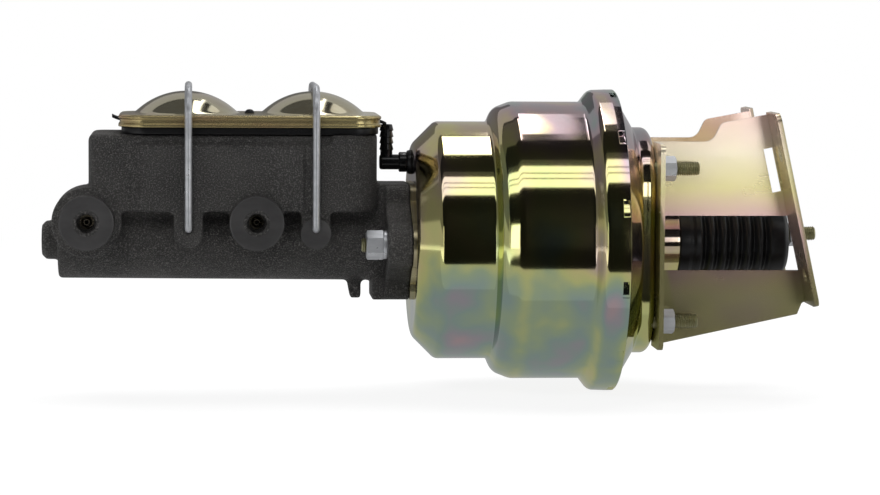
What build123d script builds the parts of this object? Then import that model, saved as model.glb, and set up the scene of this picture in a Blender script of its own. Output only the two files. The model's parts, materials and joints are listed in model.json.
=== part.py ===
"""Vacuum brake booster with its firewall brackets and a tandem master cylinder.

Millimetres. X runs along the booster's axis, from the master cylinder at -X to the pedal at +X, and +Z is
up. The origin is where the axis meets the firewall, the tilted plane that the brackets' outer flanges lie on.
The vehicle's left side is -Y. At rest the brake is released, and both bails stand over the lid's domes.
"""
import os
from math import atan2, cos, degrees, radians, sin, sqrt, tan

from build123d import *

os.makedirs("parts", exist_ok=True)

# Clearances between pieces
running_gap = 0.06
free_gap = 0.3
crimp_gap = 0.2

# Booster shells, along the axis from the firewall forwards
shell_sheet = 1.5
bracket_depth = 96.8
plateau_height = 11.5
dish_height = 12.0
rim_depth = 19.0
ring_width = 21.5
rear_chamber_length = 51.0
shoulder_length = 15.1
front_chamber_length = 34.8
nose_length = 15.2

# Booster shells, radii
ring_radius = 100.0
rear_chamber_radius = 91.8
front_chamber_radius = 78.5
pilot_hole_radius = 24.0
plateau_radius = 75.0
plateau_flat = 52.0
plateau_round = 4.5
hub_radius = 23.2
hub_length = 20.2
cuff_seat_radius = 22.2
cuff_seat_length = 8.5

# Crimped rim: windows lanced in the front shell's skirt, each with a tongue bent in behind the rear shell
crimp_count = 12
crimp_first_angle = 14.0
crimp_window = 10.5
crimp_tongue = 9.0
crimp_sheet = 1.2
crimp_drop = 2.0

# Divider and diaphragms
divider_sheet = 1.2
divider_cup_radius = 76.0
divider_cup_depth = 24.0
divider_gap = 3.0
rubber = 1.6
plate_sheet = 1.5
rear_plate_radius = 71.0
front_plate_radius = 66.0
seal_width = 12.0

# Valve body and what it carries
sleeve_radius = 21.0
tail_radius = 18.0
tail_end_x = -52.0
tail_wall = 3.4
valve_flange_radius = 32.0
valve_flange = 5.6
reaction_radius = 12.5
reaction_disc_length = 8.0
plunger_radius = 8.0
plunger_neck_radius = 5.0
plunger_neck_length = 6.0
plunger_travel = 1.5
key_thickness = 2.4
key_width = 14.0
ball_radius = 5.5
rod_radius = 4.5
rod_thread_radius = 4.75
rod_rise = 3.9
rod_end_x = 17.6
rod_nut_flats = 14.3
rod_nut_thickness = 6.6

# Boot
boot_wall = 1.4
boot_cuff_length = 13.5
boot_crest_radius = 24.0
boot_groove_radius = 20.6
boot_folds = 6
boot_end_x = -3.2

# Firewall brackets
bracket_sheet = 3.0
web_face = 33.0
flange_reach = 66.0
flange_half_height = 67.0
firewall_tilt = 12.5
firewall_top = 87.0
firewall_foot = -38.4
step_x = -55.0
step_height = 12.3
ramp_rise = 6.2
web_tail_z = -46.5
window_top = 18.5
window_foot = -17.5
slot_length = 29.5
slot_width = 6.3
slot_centre_z = 48.5
firewall_hole_radius = 5.25
firewall_hole_y = 50.0
firewall_hole_upper = 62.0
firewall_hole_lower = -20.0

# Bracket studs and nuts
bracket_stud_y = 42.85
bracket_stud_z = 50.0
bracket_stud_radius = 4.75
bracket_stud_end_x = -68.2
bracket_collar_radius = 5.6
bracket_collar = 2.4
bracket_nut_flats = 14.3
bracket_nut_thickness = 10.2

# Master cylinder flange, studs and nuts
gasket_sheet = 1.9
flange_thickness = 16.5
flange_ear_radius = 15.0
flange_half_tall = 38.0
root_length = 8.0
lug_length = 7.9
lug_width = 12.0
notch_length = 6.8
notch_round = 2.2
cylinder_stud_y = 42.85
cylinder_stud_radius = 5.0
cylinder_nut_flats = 16.5
cylinder_nut_thickness = 11.0
washer_thickness = 2.6
stud_stand = 3.0
pilot_radius = 20.5
pilot_length = 12.0

# Master cylinder barrel and bore
barrel_front_x = -484.8
barrel_front_radius = 25.0
barrel_rear_radius = 26.5
stub_radius = 12.75
stub_length = 10.9
bore_radius = 12.7
bore_end_wall = 10.8
drilling_radius = 1.2
drilling_drop = 6.0

# Reservoirs
reservoir_front_x = -464.4
reservoir_rear_x = -277.0
reservoir_top = 71.0
reservoir_foot = 21.0
lobe_half_width = 36.5
lobe_corner = 9.0
rear_corner = 24.0
lobe_step_x = -437.0
middle_half_width = 40.0
shoulder_z = 65.5
rear_lobe_x = -322.0
groove_width = 4.0
groove_depth = 1.6
pad_front_x = -345.5
pad_height = 0.7
shoulder_round = 3.0
shelf_round = 4.0
neck_half_width = 20.0
neck_margin = 8.0
reservoir_wall = 5.0
reservoir_floor = 27.0
partition_x = -352.0
mouth_margin = 8.0
shelf_thickness = 7.0

# Lid and gasket
lid_front_x = -445.3
lid_rear_x = -274.6
lid_half_width = 39.5
lid_corner = 18.0
lid_skirt = 8.0
lid_sheet = 1.0
gasket_height = 4.5
tab_width = 9.0
tab_thickness = 2.2
tab_reach = 4.5
dome_radius = 34.0
dome_height = 14.6
front_dome_x = -401.4
rear_dome_x = -318.6
vent_radius = 3.2
vent_stand = 2.6

# Bails
bail_wire_radius = 2.4
bail_half_width = 43.5
bail_top_z = 101.2
bail_corner = 17.0
bail_foot = 6.5
front_pivot_x = -400.0
rear_pivot_x = -317.6
pivot_z = 10.0
bail_boss_radius = 9.5
bail_boss_face = 40.6
bail_boss_drop = 3.0
bail_disc_margin = 0.6
boss_round = 2.0

# Outlet ports, on the left side
front_port_x = -465.4
rear_port_x = -355.9
port_z = 14.0
port_radius = 17.8
port_base_radius = 22.7
port_face = 45.0
port_hole_radius = 6.15
port_hole_depth = 11.0
seat_bore_radius = 5.0
seat_height = 6.0

# Pistons in the bore
primary_length = 62.0
secondary_length = 56.0
primary_rear_x = -248.2
secondary_rear_x = -352.0

# Check valve
valve_z = 51.6
valve_y = 0.0
valve_barrel_radius = 5.0
valve_collar_radius = 6.6
valve_collar_length = 5.2
nozzle_radius = 4.6
nozzle_x = -269.8
nozzle_top = 76.5
grommet_radius = 8.4

# Places along the axis, worked out from the lengths above
rear_x = -bracket_depth
dish_x = rear_x - plateau_height
rim_x = rear_x - rim_depth
ring_front_x = rim_x - ring_width
shoulder_rear_x = ring_front_x - rear_chamber_length
shoulder_front_x = shoulder_rear_x - shoulder_length
cone_rear_x = shoulder_front_x - front_chamber_length
front_x = cone_rear_x - nose_length
rear_flange_x = dish_x - dish_height - shell_sheet
hub_end_x = rear_x + hub_length + cuff_seat_length
cuff_front_x = rear_x + hub_length

cylinder_rear_x = front_x - gasket_sheet
flange_front_x = cylinder_rear_x - flange_thickness
bore_end_x = barrel_front_x + bore_end_wall
pilot_end_x = cylinder_rear_x + pilot_length

bead_front_x = rear_flange_x - 5.0
divider_flange_x = bead_front_x - divider_sheet
divider_rim_x = shoulder_rear_x + divider_gap
divider_web_x = divider_rim_x + divider_cup_depth
divider_skirt_radius = rear_chamber_radius - shell_sheet - free_gap - divider_sheet
seal_front_x = divider_web_x - 2.0
seal_seat_radius = sleeve_radius + 4.6

rear_plate_x = rear_x - shell_sheet - 3.2 - rubber - plate_sheet
valve_flange_x = rear_plate_x - valve_flange
front_plate_x = divider_web_x - 7.5
sleeve_end_x = front_plate_x - 6.0
reaction_front_x = sleeve_end_x + 10.0
reaction_rear_x = reaction_front_x + reaction_disc_length
plunger_front_x = reaction_rear_x + plunger_travel + free_gap
plunger_neck_x = plunger_front_x + 12.0
ball_x = plunger_neck_x + plunger_neck_length + 12.0
plunger_rear_x = ball_x + 3.6
seat_x = plunger_rear_x - 1.5

rod_tilt = degrees(atan2(rod_rise, -ball_x))
rod_axis = Vector(cos(radians(rod_tilt)), 0, sin(radians(rod_tilt)))
tilt = radians(firewall_tilt)
spring_front_x = front_x + shell_sheet
seat_face = port_face - port_hole_depth - seat_height


def turned(*points):
    """A closed profile beside the axis, each point (place along the axis, radius)."""
    with BuildSketch(Plane.XZ) as profile:
        with BuildLine():
            Polyline(*points, close=True)
        make_face()
    return profile.sketch


def pressed(points, bends, sheet, side=Side.RIGHT):
    """A pressing's section: one face as a line rounded at the bends, and the other face one sheet beside it."""
    with BuildSketch(Plane.XZ) as profile:
        with BuildLine():
            FilletPolyline(*points, radius=bends)
            offset(amount=sheet, side=side)
        make_face()
    return profile.sketch


def coiled(front, rear, coil_radius, wire_radius, turns):
    """A spring of round wire about the axis, its ends resting on the planes at front and rear."""
    length = rear - front - 2 * wire_radius
    with BuildLine() as path:
        Helix(
            pitch=length / turns, height=length, radius=coil_radius,
            center=(front + wire_radius, 0, 0), direction=(1, 0, 0),
        )
    with BuildPart() as spring:
        with BuildSketch(Plane(origin=path.line @ 0, z_dir=path.line % 0)):
            RegularPolygon(radius=wire_radius, side_count=8)
        sweep(path=path.line, is_frenet=True)
    return spring.part


def hexagon_nut(flats, thickness, hole_radius):
    """One hexagon nut standing on the XY plane, its upper corners turned down by a cone."""
    corner = flats / sqrt(3)
    with BuildPart() as nut:
        with BuildSketch():
            RegularPolygon(radius=flats / 2, side_count=6, major_radius=False)
        extrude(amount=thickness)
        with BuildSketch(Plane.XZ):
            with BuildLine():
                Polyline(
                    (0, 0),
                    (corner, 0),
                    (corner, thickness - corner + flats / 2),
                    (flats / 2 - 0.3, thickness),
                    (0, thickness),
                    close=True,
                )
            make_face()
        revolve(axis=Axis.Z, mode=Mode.INTERSECT)
        Hole(hole_radius)
    return nut.part


def nuts_along_axis(nut, x, places, way=1):
    """Copies of a nut on the plane at x, each at its (y, z) place, pointing along +X or -X."""
    with BuildPart() as group:
        with Locations(*[Plane(origin=(x, y, z), z_dir=(way, 0, 0)) for y, z in places]):
            add(nut)
    return group.part


def finish(piece, name):
    """Name a finished piece and write it."""
    piece.label = name
    export_step(piece, f"parts/{name}.step")


def crimp_plane(x, index):
    """The plane across the axis at x, turned so that its local Y points outwards at one of the crimps."""
    turn = radians(-crimp_first_angle - index * 360 / crimp_count)
    return Plane(origin=(x, 0, 0), x_dir=(0, cos(turn), -sin(turn)), z_dir=(1, 0, 0))


# Front shell: one deep pressing with two steps, open at the rear, its rim crimped over the rear shell
front_shell_line = [
    (front_x, pilot_hole_radius),
    (front_x, front_chamber_radius - nose_length),
    (cone_rear_x, front_chamber_radius),
    (shoulder_front_x, front_chamber_radius),
    (shoulder_front_x + 4.0, rear_chamber_radius - 4.3),
    (shoulder_rear_x, rear_chamber_radius),
    (ring_front_x - 1.5, rear_chamber_radius),
    (ring_front_x + 0.5, ring_radius - 0.2),
    (rim_x, ring_radius),
]
with BuildPart() as front_shell:
    revolve(pressed(front_shell_line, [8, 6, 2.5, 9, 12, 2.5, 5.5], shell_sheet), axis=Axis.X)
    with BuildSketch(Plane.YZ.offset(front_x)):
        with Locations((cylinder_stud_y, 0), (-cylinder_stud_y, 0)):
            Circle(cylinder_stud_radius + free_gap)
        with Locations((valve_y, valve_z)):
            Circle(grommet_radius - 1.5)
    extrude(amount=shell_sheet, mode=Mode.SUBTRACT)
    crimp_x = rear_flange_x + shell_sheet + crimp_gap
    for index in range(crimp_count):
        with BuildSketch(crimp_plane(crimp_x, index)):
            with Locations((0, ring_radius)):
                Rectangle(crimp_window, 4 * shell_sheet)
        extrude(amount=rim_x - crimp_x, mode=Mode.SUBTRACT)
        with BuildSketch(crimp_plane(crimp_x, index)):
            with BuildLine():
                Polyline(
                    (-crimp_window / 2 - 0.4, ring_radius - 0.2),
                    (crimp_tongue - crimp_window / 2, ring_radius - crimp_drop),
                    (crimp_tongue - crimp_window / 2, ring_radius - crimp_drop - crimp_sheet),
                    (-crimp_window / 2 - 0.4, ring_radius - 0.2 - crimp_sheet),
                    close=True,
                )
            make_face()
        extrude(amount=rim_x - crimp_x - crimp_gap)
finish(front_shell.part, "front_shell")


def rear_dish(inset):
    """The rear shell's outer form as a solid, every wall moved inwards by the inset."""
    with BuildPart() as dish:
        revolve(turned(
            (rear_flange_x - inset, 0),
            (rear_flange_x - inset, ring_radius - 4.0 - inset),
            (rear_flange_x + shell_sheet - inset, ring_radius - 4.0 - inset),
            (dish_x - inset, plateau_radius + 1.5 - inset),
            (dish_x - inset, 0),
        ), axis=Axis.X)
        with BuildSketch(Plane.YZ.offset(rear_flange_x)) as outline:
            Circle(plateau_radius - inset)
            Rectangle(2 * (plateau_flat - inset), 4 * plateau_radius, mode=Mode.INTERSECT)
            fillet(outline.vertices(), 8 - inset)
        extrude(amount=rear_x - inset - rear_flange_x)
        fillet(dish.faces().sort_by(Axis.X)[-1].edges(), plateau_round - inset)
    return dish.part


# Rear shell: a dish with a raised plateau that has two flat sides, and a hub for the valve body's tail
with BuildPart() as rear_shell:
    add(rear_dish(0))
    revolve(turned(
        (rear_flange_x, ring_radius - 6),
        (rear_flange_x, ring_radius - shell_sheet - free_gap),
        (rear_flange_x + shell_sheet, ring_radius - shell_sheet - free_gap),
        (rear_flange_x + shell_sheet, ring_radius - 6),
    ), axis=Axis.X)
    add(rear_dish(shell_sheet), mode=Mode.SUBTRACT)
    hub_line = [
        (rear_x - shell_sheet, hub_radius + 3),
        (rear_x, hub_radius + 2.5),
        (rear_x, hub_radius),
        (cuff_front_x, hub_radius),
        (cuff_front_x, cuff_seat_radius),
        (hub_end_x, cuff_seat_radius),
        (hub_end_x, cuff_seat_radius - shell_sheet),
        (cuff_front_x - shell_sheet, cuff_seat_radius - shell_sheet),
        (cuff_front_x - shell_sheet, hub_radius - shell_sheet),
        (rear_x - shell_sheet, hub_radius - shell_sheet),
    ]
    revolve(turned(*hub_line), axis=Axis.X)
    with BuildSketch(Plane.YZ.offset(rear_x - 2 * shell_sheet)):
        Circle(hub_radius - shell_sheet)
        with GridLocations(2 * bracket_stud_y, 2 * bracket_stud_z, 2, 2):
            Circle(bracket_stud_radius + free_gap)
    extrude(amount=2.4 * shell_sheet, mode=Mode.SUBTRACT)
finish(rear_shell.part, "rear_shell")

# Divider plate: parts the two vacuum chambers, its skirt inside the rear chamber's wall
with BuildPart() as divider_plate:
    divider_line = [
        (divider_flange_x + divider_sheet, ring_radius - shell_sheet - free_gap),
        (divider_flange_x + divider_sheet, divider_skirt_radius),
        (divider_rim_x, divider_skirt_radius),
        (divider_rim_x, divider_cup_radius),
        (divider_web_x, divider_cup_radius - 1.0),
        (divider_web_x, seal_seat_radius + divider_sheet),
        (seal_front_x + seal_width, seal_seat_radius + divider_sheet),
    ]
    revolve(pressed(divider_line, [0, 3, 3, 5, 2], divider_sheet, Side.LEFT), axis=Axis.X)
finish(divider_plate.part, "divider_plate")

# Divider seal: rubber ring between the divider's hub and the sliding sleeve
with BuildPart() as divider_seal:
    seal_rear_x = seal_front_x + seal_width
    revolve(turned(
        (seal_front_x, sleeve_radius + running_gap),
        (seal_front_x, seal_seat_radius - 0.6),
        (divider_web_x + 0.5, seal_seat_radius - 0.02),
        (seal_rear_x, seal_seat_radius - 0.02),
        (seal_rear_x, sleeve_radius + 2.2),
        (seal_rear_x - 3, sleeve_radius + 1.6),
        (seal_front_x + 4, sleeve_radius + running_gap),
    ), axis=Axis.X)
finish(divider_seal.part, "divider_seal")

# Rear hub seal and the ring that holds it in the hub
hub_bore = hub_radius - shell_sheet
hub_seal_front_x = rear_x + 3.0
hub_seal_rear_x = hub_seal_front_x + 8.0
with BuildPart() as rear_hub_seal:
    revolve(turned(
        (hub_seal_front_x, tail_radius + running_gap),
        (hub_seal_front_x, hub_bore - 0.02),
        (hub_seal_rear_x, hub_bore - 0.02),
        (hub_seal_rear_x, tail_radius + 2.4),
        (hub_seal_front_x + 3, tail_radius + 1.4),
        (hub_seal_front_x + 2.5, tail_radius + running_gap),
    ), axis=Axis.X)
finish(rear_hub_seal.part, "rear_hub_seal")

with BuildPart() as seal_retainer:
    revolve(turned(
        (hub_seal_rear_x, tail_radius + 0.5),
        (hub_seal_rear_x, hub_bore - 0.02),
        (hub_seal_rear_x + 5, hub_bore - 0.02),
        (hub_seal_rear_x + 5, hub_bore - 1.4),
        (hub_seal_rear_x + 1.4, hub_bore - 1.4),
        (hub_seal_rear_x + 1.4, tail_radius + 0.5),
    ), axis=Axis.X)
finish(seal_retainer.part, "seal_retainer")

# Front seal: rubber ring round the cylinder's pilot, clipped into the front shell's hole
with BuildPart() as front_seal:
    revolve(turned(
        (front_x - gasket_sheet + 0.1, pilot_radius + 0.02),
        (front_x - gasket_sheet + 0.1, pilot_hole_radius - 0.02),
        (spring_front_x + 0.05, pilot_hole_radius - 0.02),
        (spring_front_x + 0.05, pilot_hole_radius + 1.8),
        (spring_front_x + 2.0, pilot_hole_radius + 0.6),
        (spring_front_x + 3.0, pilot_radius + 0.02),
    ), axis=Axis.X)
finish(front_seal.part, "front_seal")

# Studs of the master cylinder: their collars bear inside the front shell
cylinder_nut_x = flange_front_x - washer_thickness - cylinder_nut_thickness
with BuildPart() as cylinder_studs:
    with BuildSketch(Plane.YZ.offset(cylinder_nut_x - stud_stand)):
        with Locations((cylinder_stud_y, 0), (-cylinder_stud_y, 0)):
            Circle(cylinder_stud_radius)
    extrude(amount=spring_front_x - cylinder_nut_x + stud_stand + 3)
    with BuildSketch(Plane.YZ.offset(spring_front_x)):
        with Locations((cylinder_stud_y, 0), (-cylinder_stud_y, 0)):
            Circle(cylinder_stud_radius * 1.7)
    extrude(amount=3)
    chamfer(cylinder_studs.faces().group_by(Axis.X)[0].edges(), 0.8)
finish(cylinder_studs.part, "cylinder_studs")

# Bracket studs: their collars bear inside the rear shell's plateau
bracket_places = [(y, z) for y in (-bracket_stud_y, bracket_stud_y) for z in (-bracket_stud_z, bracket_stud_z)]
with BuildPart() as bracket_studs:
    collar_x = rear_x - shell_sheet - free_gap - bracket_collar
    with BuildSketch(Plane.YZ.offset(collar_x)):
        with Locations(*bracket_places):
            Circle(bracket_collar_radius)
    extrude(amount=bracket_collar)
    with BuildSketch(Plane.YZ.offset(collar_x)):
        with Locations(*bracket_places):
            Circle(bracket_stud_radius)
    extrude(amount=bracket_stud_end_x - collar_x)
    chamfer(bracket_studs.faces().group_by(Axis.X)[-1].edges(), 1.2)
finish(bracket_studs.part, "bracket_studs")


def firewall_plane(forward):
    """The firewall's plane moved forwards by the distance, its local axes Y and up along the plane."""
    return Plane(
        origin=(-forward * cos(tilt), 0, -forward * sin(tilt)),
        x_dir=(0, 1, 0),
        z_dir=(cos(tilt), 0, sin(tilt)),
    )


def firewall_x(z, forward=0.0):
    """Where the firewall's plane, moved forwards, stands at height z."""
    return -z * tan(tilt) - forward / cos(tilt)


def bracket(side):
    """A bracket of bent sheet: a tall web along the axis, with a flange turned outwards at each end."""
    inner = web_face - bracket_sheet
    ramp_foot_z = flange_half_height
    top_z = ramp_foot_z + step_height + ramp_rise
    with BuildPart() as body:
        with BuildSketch(Plane.XZ.offset(-side * inner)) as outline:
            with BuildLine():
                FilletPolyline(
                    (rear_x, -flange_half_height),
                    (rear_x, ramp_foot_z),
                    (step_x - 3.0, ramp_foot_z),
                    (step_x + 3.0, ramp_foot_z + step_height),
                    (firewall_x(top_z, 0.0), top_z),
                    (firewall_x(firewall_foot), firewall_foot),
                    (firewall_x(firewall_foot) - 5.2, firewall_foot),
                    (firewall_x(firewall_foot) - 8.4, web_tail_z),
                    radius=[0, 8, 5, 0, 0, 2.5],
                )
                Line((firewall_x(firewall_foot) - 8.4, web_tail_z), (rear_x, -flange_half_height))
            make_face()
        extrude(amount=-side * bracket_sheet)
        with BuildSketch(Plane.YZ.offset(rear_x)) as rear_flange:
            with Locations((side * (inner + flange_reach) / 2, 0)):
                Rectangle(flange_reach - inner, 2 * flange_half_height)
        extrude(amount=bracket_sheet)
        upper = firewall_top / cos(tilt)
        lower = firewall_foot / cos(tilt)
        with BuildSketch(firewall_plane(bracket_sheet)):
            with Locations((side * (inner + flange_reach) / 2, (upper + lower) / 2)):
                Rectangle(flange_reach - inner, upper - lower)
        extrude(amount=bracket_sheet)
        long_edges = body.edges().filter_by(lambda edge: edge.length > flange_half_height)
        upright = long_edges.filter_by(lambda edge: abs((edge % 0.5).Z) > 0.9)
        fillet(upright.filter_by(lambda edge: abs(abs(edge.center().Y) - inner) < 0.01), bracket_sheet)
        with BuildSketch(Plane.XZ.offset(-side * (web_face + 0.01))):
            with BuildLine():
                Polyline(
                    (rear_x + bracket_sheet, window_foot),
                    (rear_x + bracket_sheet, window_top),
                    (firewall_x(window_top, bracket_sheet), window_top),
                    (firewall_x(window_foot, bracket_sheet), window_foot),
                    close=True,
                )
            make_face()
        extrude(amount=side * (bracket_sheet + 0.02), mode=Mode.SUBTRACT)
        slot_plane = Plane(
            origin=(firewall_x(slot_centre_z, bracket_sheet + 0.6 + slot_width / 2), side * inner, slot_centre_z),
            x_dir=(cos(tilt), 0, sin(tilt)),
            z_dir=(0, side, 0),
        )
        with BuildSketch(slot_plane):
            Rectangle(slot_width, slot_length)
        extrude(amount=bracket_sheet + 1, mode=Mode.SUBTRACT)
        with BuildSketch(Plane.YZ.offset(rear_x)):
            with Locations(*[(side * bracket_stud_y, z) for z in (-bracket_stud_z, bracket_stud_z)]):
                Circle(bracket_stud_radius + free_gap)
        extrude(amount=bracket_sheet, mode=Mode.SUBTRACT)
        with BuildSketch(firewall_plane(bracket_sheet)):
            with Locations(*[(side * firewall_hole_y, s) for s in (firewall_hole_lower, firewall_hole_upper)]):
                Circle(firewall_hole_radius)
        extrude(amount=bracket_sheet, mode=Mode.SUBTRACT)
        corners = body.edges().filter_by(lambda edge: abs(abs(edge.center().Y) - flange_reach) < 0.01)
        short = corners.filter_by(lambda edge: edge.length < 2 * bracket_sheet)
        fillet(short, 6)
    return body.part


# Brackets: a mirrored pair between the booster and the firewall
left_bracket = bracket(-1)
right_bracket = bracket(1)
finish(left_bracket, "left_bracket")
finish(right_bracket, "right_bracket")

bracket_nut = hexagon_nut(bracket_nut_flats, bracket_nut_thickness, bracket_stud_radius + 0.02)
bracket_nuts = nuts_along_axis(bracket_nut, rear_x + bracket_sheet, bracket_places)
finish(bracket_nuts, "bracket_nuts")


# Master cylinder body: one grey-iron casting
def reservoir_plan(margin):
    """The reservoirs' plan: a narrow front lobe and a wider rear one with a large rounded end."""
    lobe = lobe_half_width - margin
    wide = middle_half_width - margin
    front = reservoir_front_x + margin
    rear = reservoir_rear_x - margin
    with BuildSketch(Plane.XY) as plan:
        with BuildLine():
            near = FilletPolyline(
                (front, 0), (front, -lobe), (lobe_step_x + margin, -lobe), (lobe_step_x + 6 + margin, -wide),
                (rear, -wide), (rear, 0),
                radius=[lobe_corner, 4, 4, rear_corner - margin],
            )
            mirror(near, about=Plane.XZ)
        make_face()
    return plan.sketch


def rim_plan():
    """The plan above the shoulder: the full width at the rear lobe, and a narrower rim in front of it."""
    with BuildSketch(Plane.XY) as plan:
        add(reservoir_plan(0))
        for side in (-1, 1):
            with Locations(((lobe_step_x + rear_lobe_x) / 2, side * (lobe_half_width + middle_half_width))):
                Rectangle(rear_lobe_x - lobe_step_x + 30, 2 * middle_half_width, mode=Mode.SUBTRACT)
    return plan.sketch


def lid_plan(margin):
    """The lid's plan: a rectangle with large rounded corners, drawn in by the margin."""
    with BuildSketch(Plane.XY) as plan:
        with Locations(((lid_front_x + lid_rear_x) / 2, 0)):
            RectangleRounded(
                lid_rear_x - lid_front_x - 2 * margin, 2 * (lid_half_width - margin), lid_corner - margin,
            )
    return plan.sketch


def flange_outline():
    """The mounting flange seen along the axis: an upright block between two rounded ears."""
    ear_root = flange_half_tall - 8
    with BuildSketch() as outline:
        Rectangle(2 * neck_half_width + 8, 2 * flange_half_tall)
        fillet(outline.vertices(), 6)
        with BuildLine():
            Polyline(
                (-cylinder_stud_y, flange_ear_radius), (-neck_half_width, ear_root), (neck_half_width, ear_root),
                (cylinder_stud_y, flange_ear_radius), (cylinder_stud_y, -flange_ear_radius),
                (neck_half_width, -ear_root), (-neck_half_width, -ear_root),
                (-cylinder_stud_y, -flange_ear_radius), close=True,
            )
        make_face()
        with Locations((cylinder_stud_y, 0), (-cylinder_stud_y, 0)):
            Circle(flange_ear_radius)
    return outline.sketch


with BuildPart() as cylinder_body:
    # barrel with its nose stub, rounded at the front
    revolve(turned(
        (barrel_front_x - stub_length, 0),
        (barrel_front_x - stub_length, stub_radius - 3),
        (barrel_front_x - stub_length + 3, stub_radius),
        (barrel_front_x, stub_radius),
        (barrel_front_x, barrel_front_radius - 1.5),
        (barrel_front_x + 1.5, barrel_front_radius),
        (flange_front_x - root_length, barrel_rear_radius),
        (cylinder_rear_x, barrel_rear_radius),
        (cylinder_rear_x, pilot_radius),
        (pilot_end_x - 1, pilot_radius),
        (pilot_end_x, pilot_radius - 1),
        (pilot_end_x, 0),
    ), axis=Axis.X)
    # neck that carries the reservoirs
    neck_front_x = reservoir_front_x + neck_margin
    neck_rear_x = flange_front_x - root_length
    with BuildSketch(Plane.XY):
        with Locations(((neck_front_x + neck_rear_x) / 2, 0)):
            Rectangle(neck_rear_x - neck_front_x, 2 * neck_half_width)
    extrude(amount=reservoir_foot + 3)
    # reservoirs
    with BuildSketch(Plane.XY.offset(reservoir_foot)):
        add(reservoir_plan(0))
    extrude(amount=shoulder_z - reservoir_foot)
    fillet(cylinder_body.faces().filter_by(Plane.XY).sort_by(Axis.Z)[-1].outer_wire().edges(), shoulder_round)
    with BuildSketch(Plane.XY.offset(shoulder_z - shoulder_round)):
        add(rim_plan())
    extrude(amount=reservoir_top - shoulder_z + shoulder_round)
    rim_edges = cylinder_body.faces().filter_by(Plane.XY).sort_by(Axis.Z)[-1].outer_wire().edges()
    fillet(rim_edges.filter_by(lambda edge: edge.center().X < reservoir_front_x + lobe_corner), shelf_round)
    for side in (-1, 1):
        with BuildSketch(Plane.XZ.offset(-side * middle_half_width)):
            with Locations(((pad_front_x + rear_lobe_x - groove_width) / 2, (reservoir_foot + shoulder_z) / 2)):
                RectangleRounded(
                    rear_lobe_x - groove_width - pad_front_x, shoulder_z - reservoir_foot - 2 * shoulder_round, 3,
                )
        extrude(amount=-side * pad_height)
        with BuildSketch(Plane.XY.offset(reservoir_foot)):
            with Locations((rear_lobe_x - groove_width / 2, side * middle_half_width)):
                Rectangle(groove_width, 2 * groove_depth)
        extrude(amount=shoulder_z - reservoir_foot, mode=Mode.SUBTRACT)
    # outlet bosses on the left side, the front one on a wider base
    for port_x, base_radius in ((front_port_x, port_base_radius), (rear_port_x, port_radius)):
        with BuildSketch(Plane.XZ):
            with Locations((port_x, port_z)):
                Circle(base_radius)
        extrude(amount=port_face - 8)
        with BuildSketch(Plane.XZ):
            with Locations((port_x, port_z)):
                Circle(port_radius)
        extrude(amount=port_face)
    # ribs down from the reservoirs to the bails' feet, both sides, the rear ones ending in a raised boss
    boss_z = pivot_z - bail_boss_drop
    for side in (-1, 1):
        rib_faces = {front_pivot_x: middle_half_width, rear_pivot_x: middle_half_width - groove_depth}
        for pivot_x, face in rib_faces.items():
            with BuildSketch(Plane.XZ.offset(-side * (neck_half_width - 2))) as rib:
                with Locations((pivot_x, boss_z)):
                    Circle(bail_boss_radius)
                with Locations((pivot_x, (boss_z + reservoir_foot) / 2)):
                    Rectangle(2 * bail_boss_radius, reservoir_foot - boss_z)
                with Locations((pivot_x, reservoir_foot + 2)):
                    Rectangle(4 * bail_boss_radius, 4)
                inside_corners = rib.vertices().filter_by(
                    lambda corner: abs(abs(corner.X - pivot_x) - bail_boss_radius) < 0.01
                    and abs(corner.Z - reservoir_foot) < 0.01
                )
                fillet(inside_corners, boss_round)
            extrude(amount=-side * (face - neck_half_width + 2))
        with BuildSketch(Plane.XZ.offset(-side * (neck_half_width - 2))):
            with Locations((rear_pivot_x, boss_z)):
                Circle(bail_boss_radius + bail_disc_margin)
        extrude(amount=-side * (bail_boss_face - neck_half_width + 2))
    # root block, mounting flange and the lug under the barrel
    with BuildSketch(Plane.YZ.offset(flange_front_x - root_length)):
        Rectangle(2 * neck_half_width, 2 * flange_half_tall)
    extrude(amount=root_length + 1)
    with BuildSketch(Plane.YZ.offset(flange_front_x)):
        add(flange_outline())
    extrude(amount=flange_thickness)
    notch_rear_x = flange_front_x - root_length
    lug_rear_x = notch_rear_x - notch_length
    lug_front_x = lug_rear_x - lug_length
    notch_top_z = 2 - barrel_rear_radius
    with BuildSketch(Plane.XZ.offset(-lug_width / 2)) as lug:
        with BuildLine():
            FilletPolyline(
                (lug_front_x - 3.5, notch_top_z + 4), (lug_front_x - 1.5, notch_top_z),
                (lug_front_x + 1, -flange_half_tall), (lug_rear_x, -flange_half_tall),
                (lug_rear_x, notch_top_z), (notch_rear_x, notch_top_z),
                (notch_rear_x, notch_top_z - notch_round - 1), (notch_rear_x + 1, notch_top_z - notch_round - 1),
                (notch_rear_x + 1, notch_top_z + 4),
                radius=[0, 1, 1, 1, notch_round, notch_round, 0, 0, 0], close=True,
            )
        make_face()
    extrude(amount=lug_width)
    # reservoir chambers with a partition, and the mouth that the lid covers
    with BuildSketch(Plane.XY.offset(reservoir_floor)):
        add(reservoir_plan(reservoir_wall))
        with Locations((partition_x, 0)):
            Rectangle(reservoir_wall, 4 * middle_half_width, mode=Mode.SUBTRACT)
    extrude(amount=reservoir_top - shelf_thickness - reservoir_floor, mode=Mode.SUBTRACT)
    with BuildSketch(Plane.XY.offset(reservoir_top - shelf_thickness)):
        add(lid_plan(mouth_margin))
        with Locations((partition_x, 0)):
            Rectangle(reservoir_wall, 4 * middle_half_width, mode=Mode.SUBTRACT)
    extrude(amount=shelf_thickness, mode=Mode.SUBTRACT)
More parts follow.
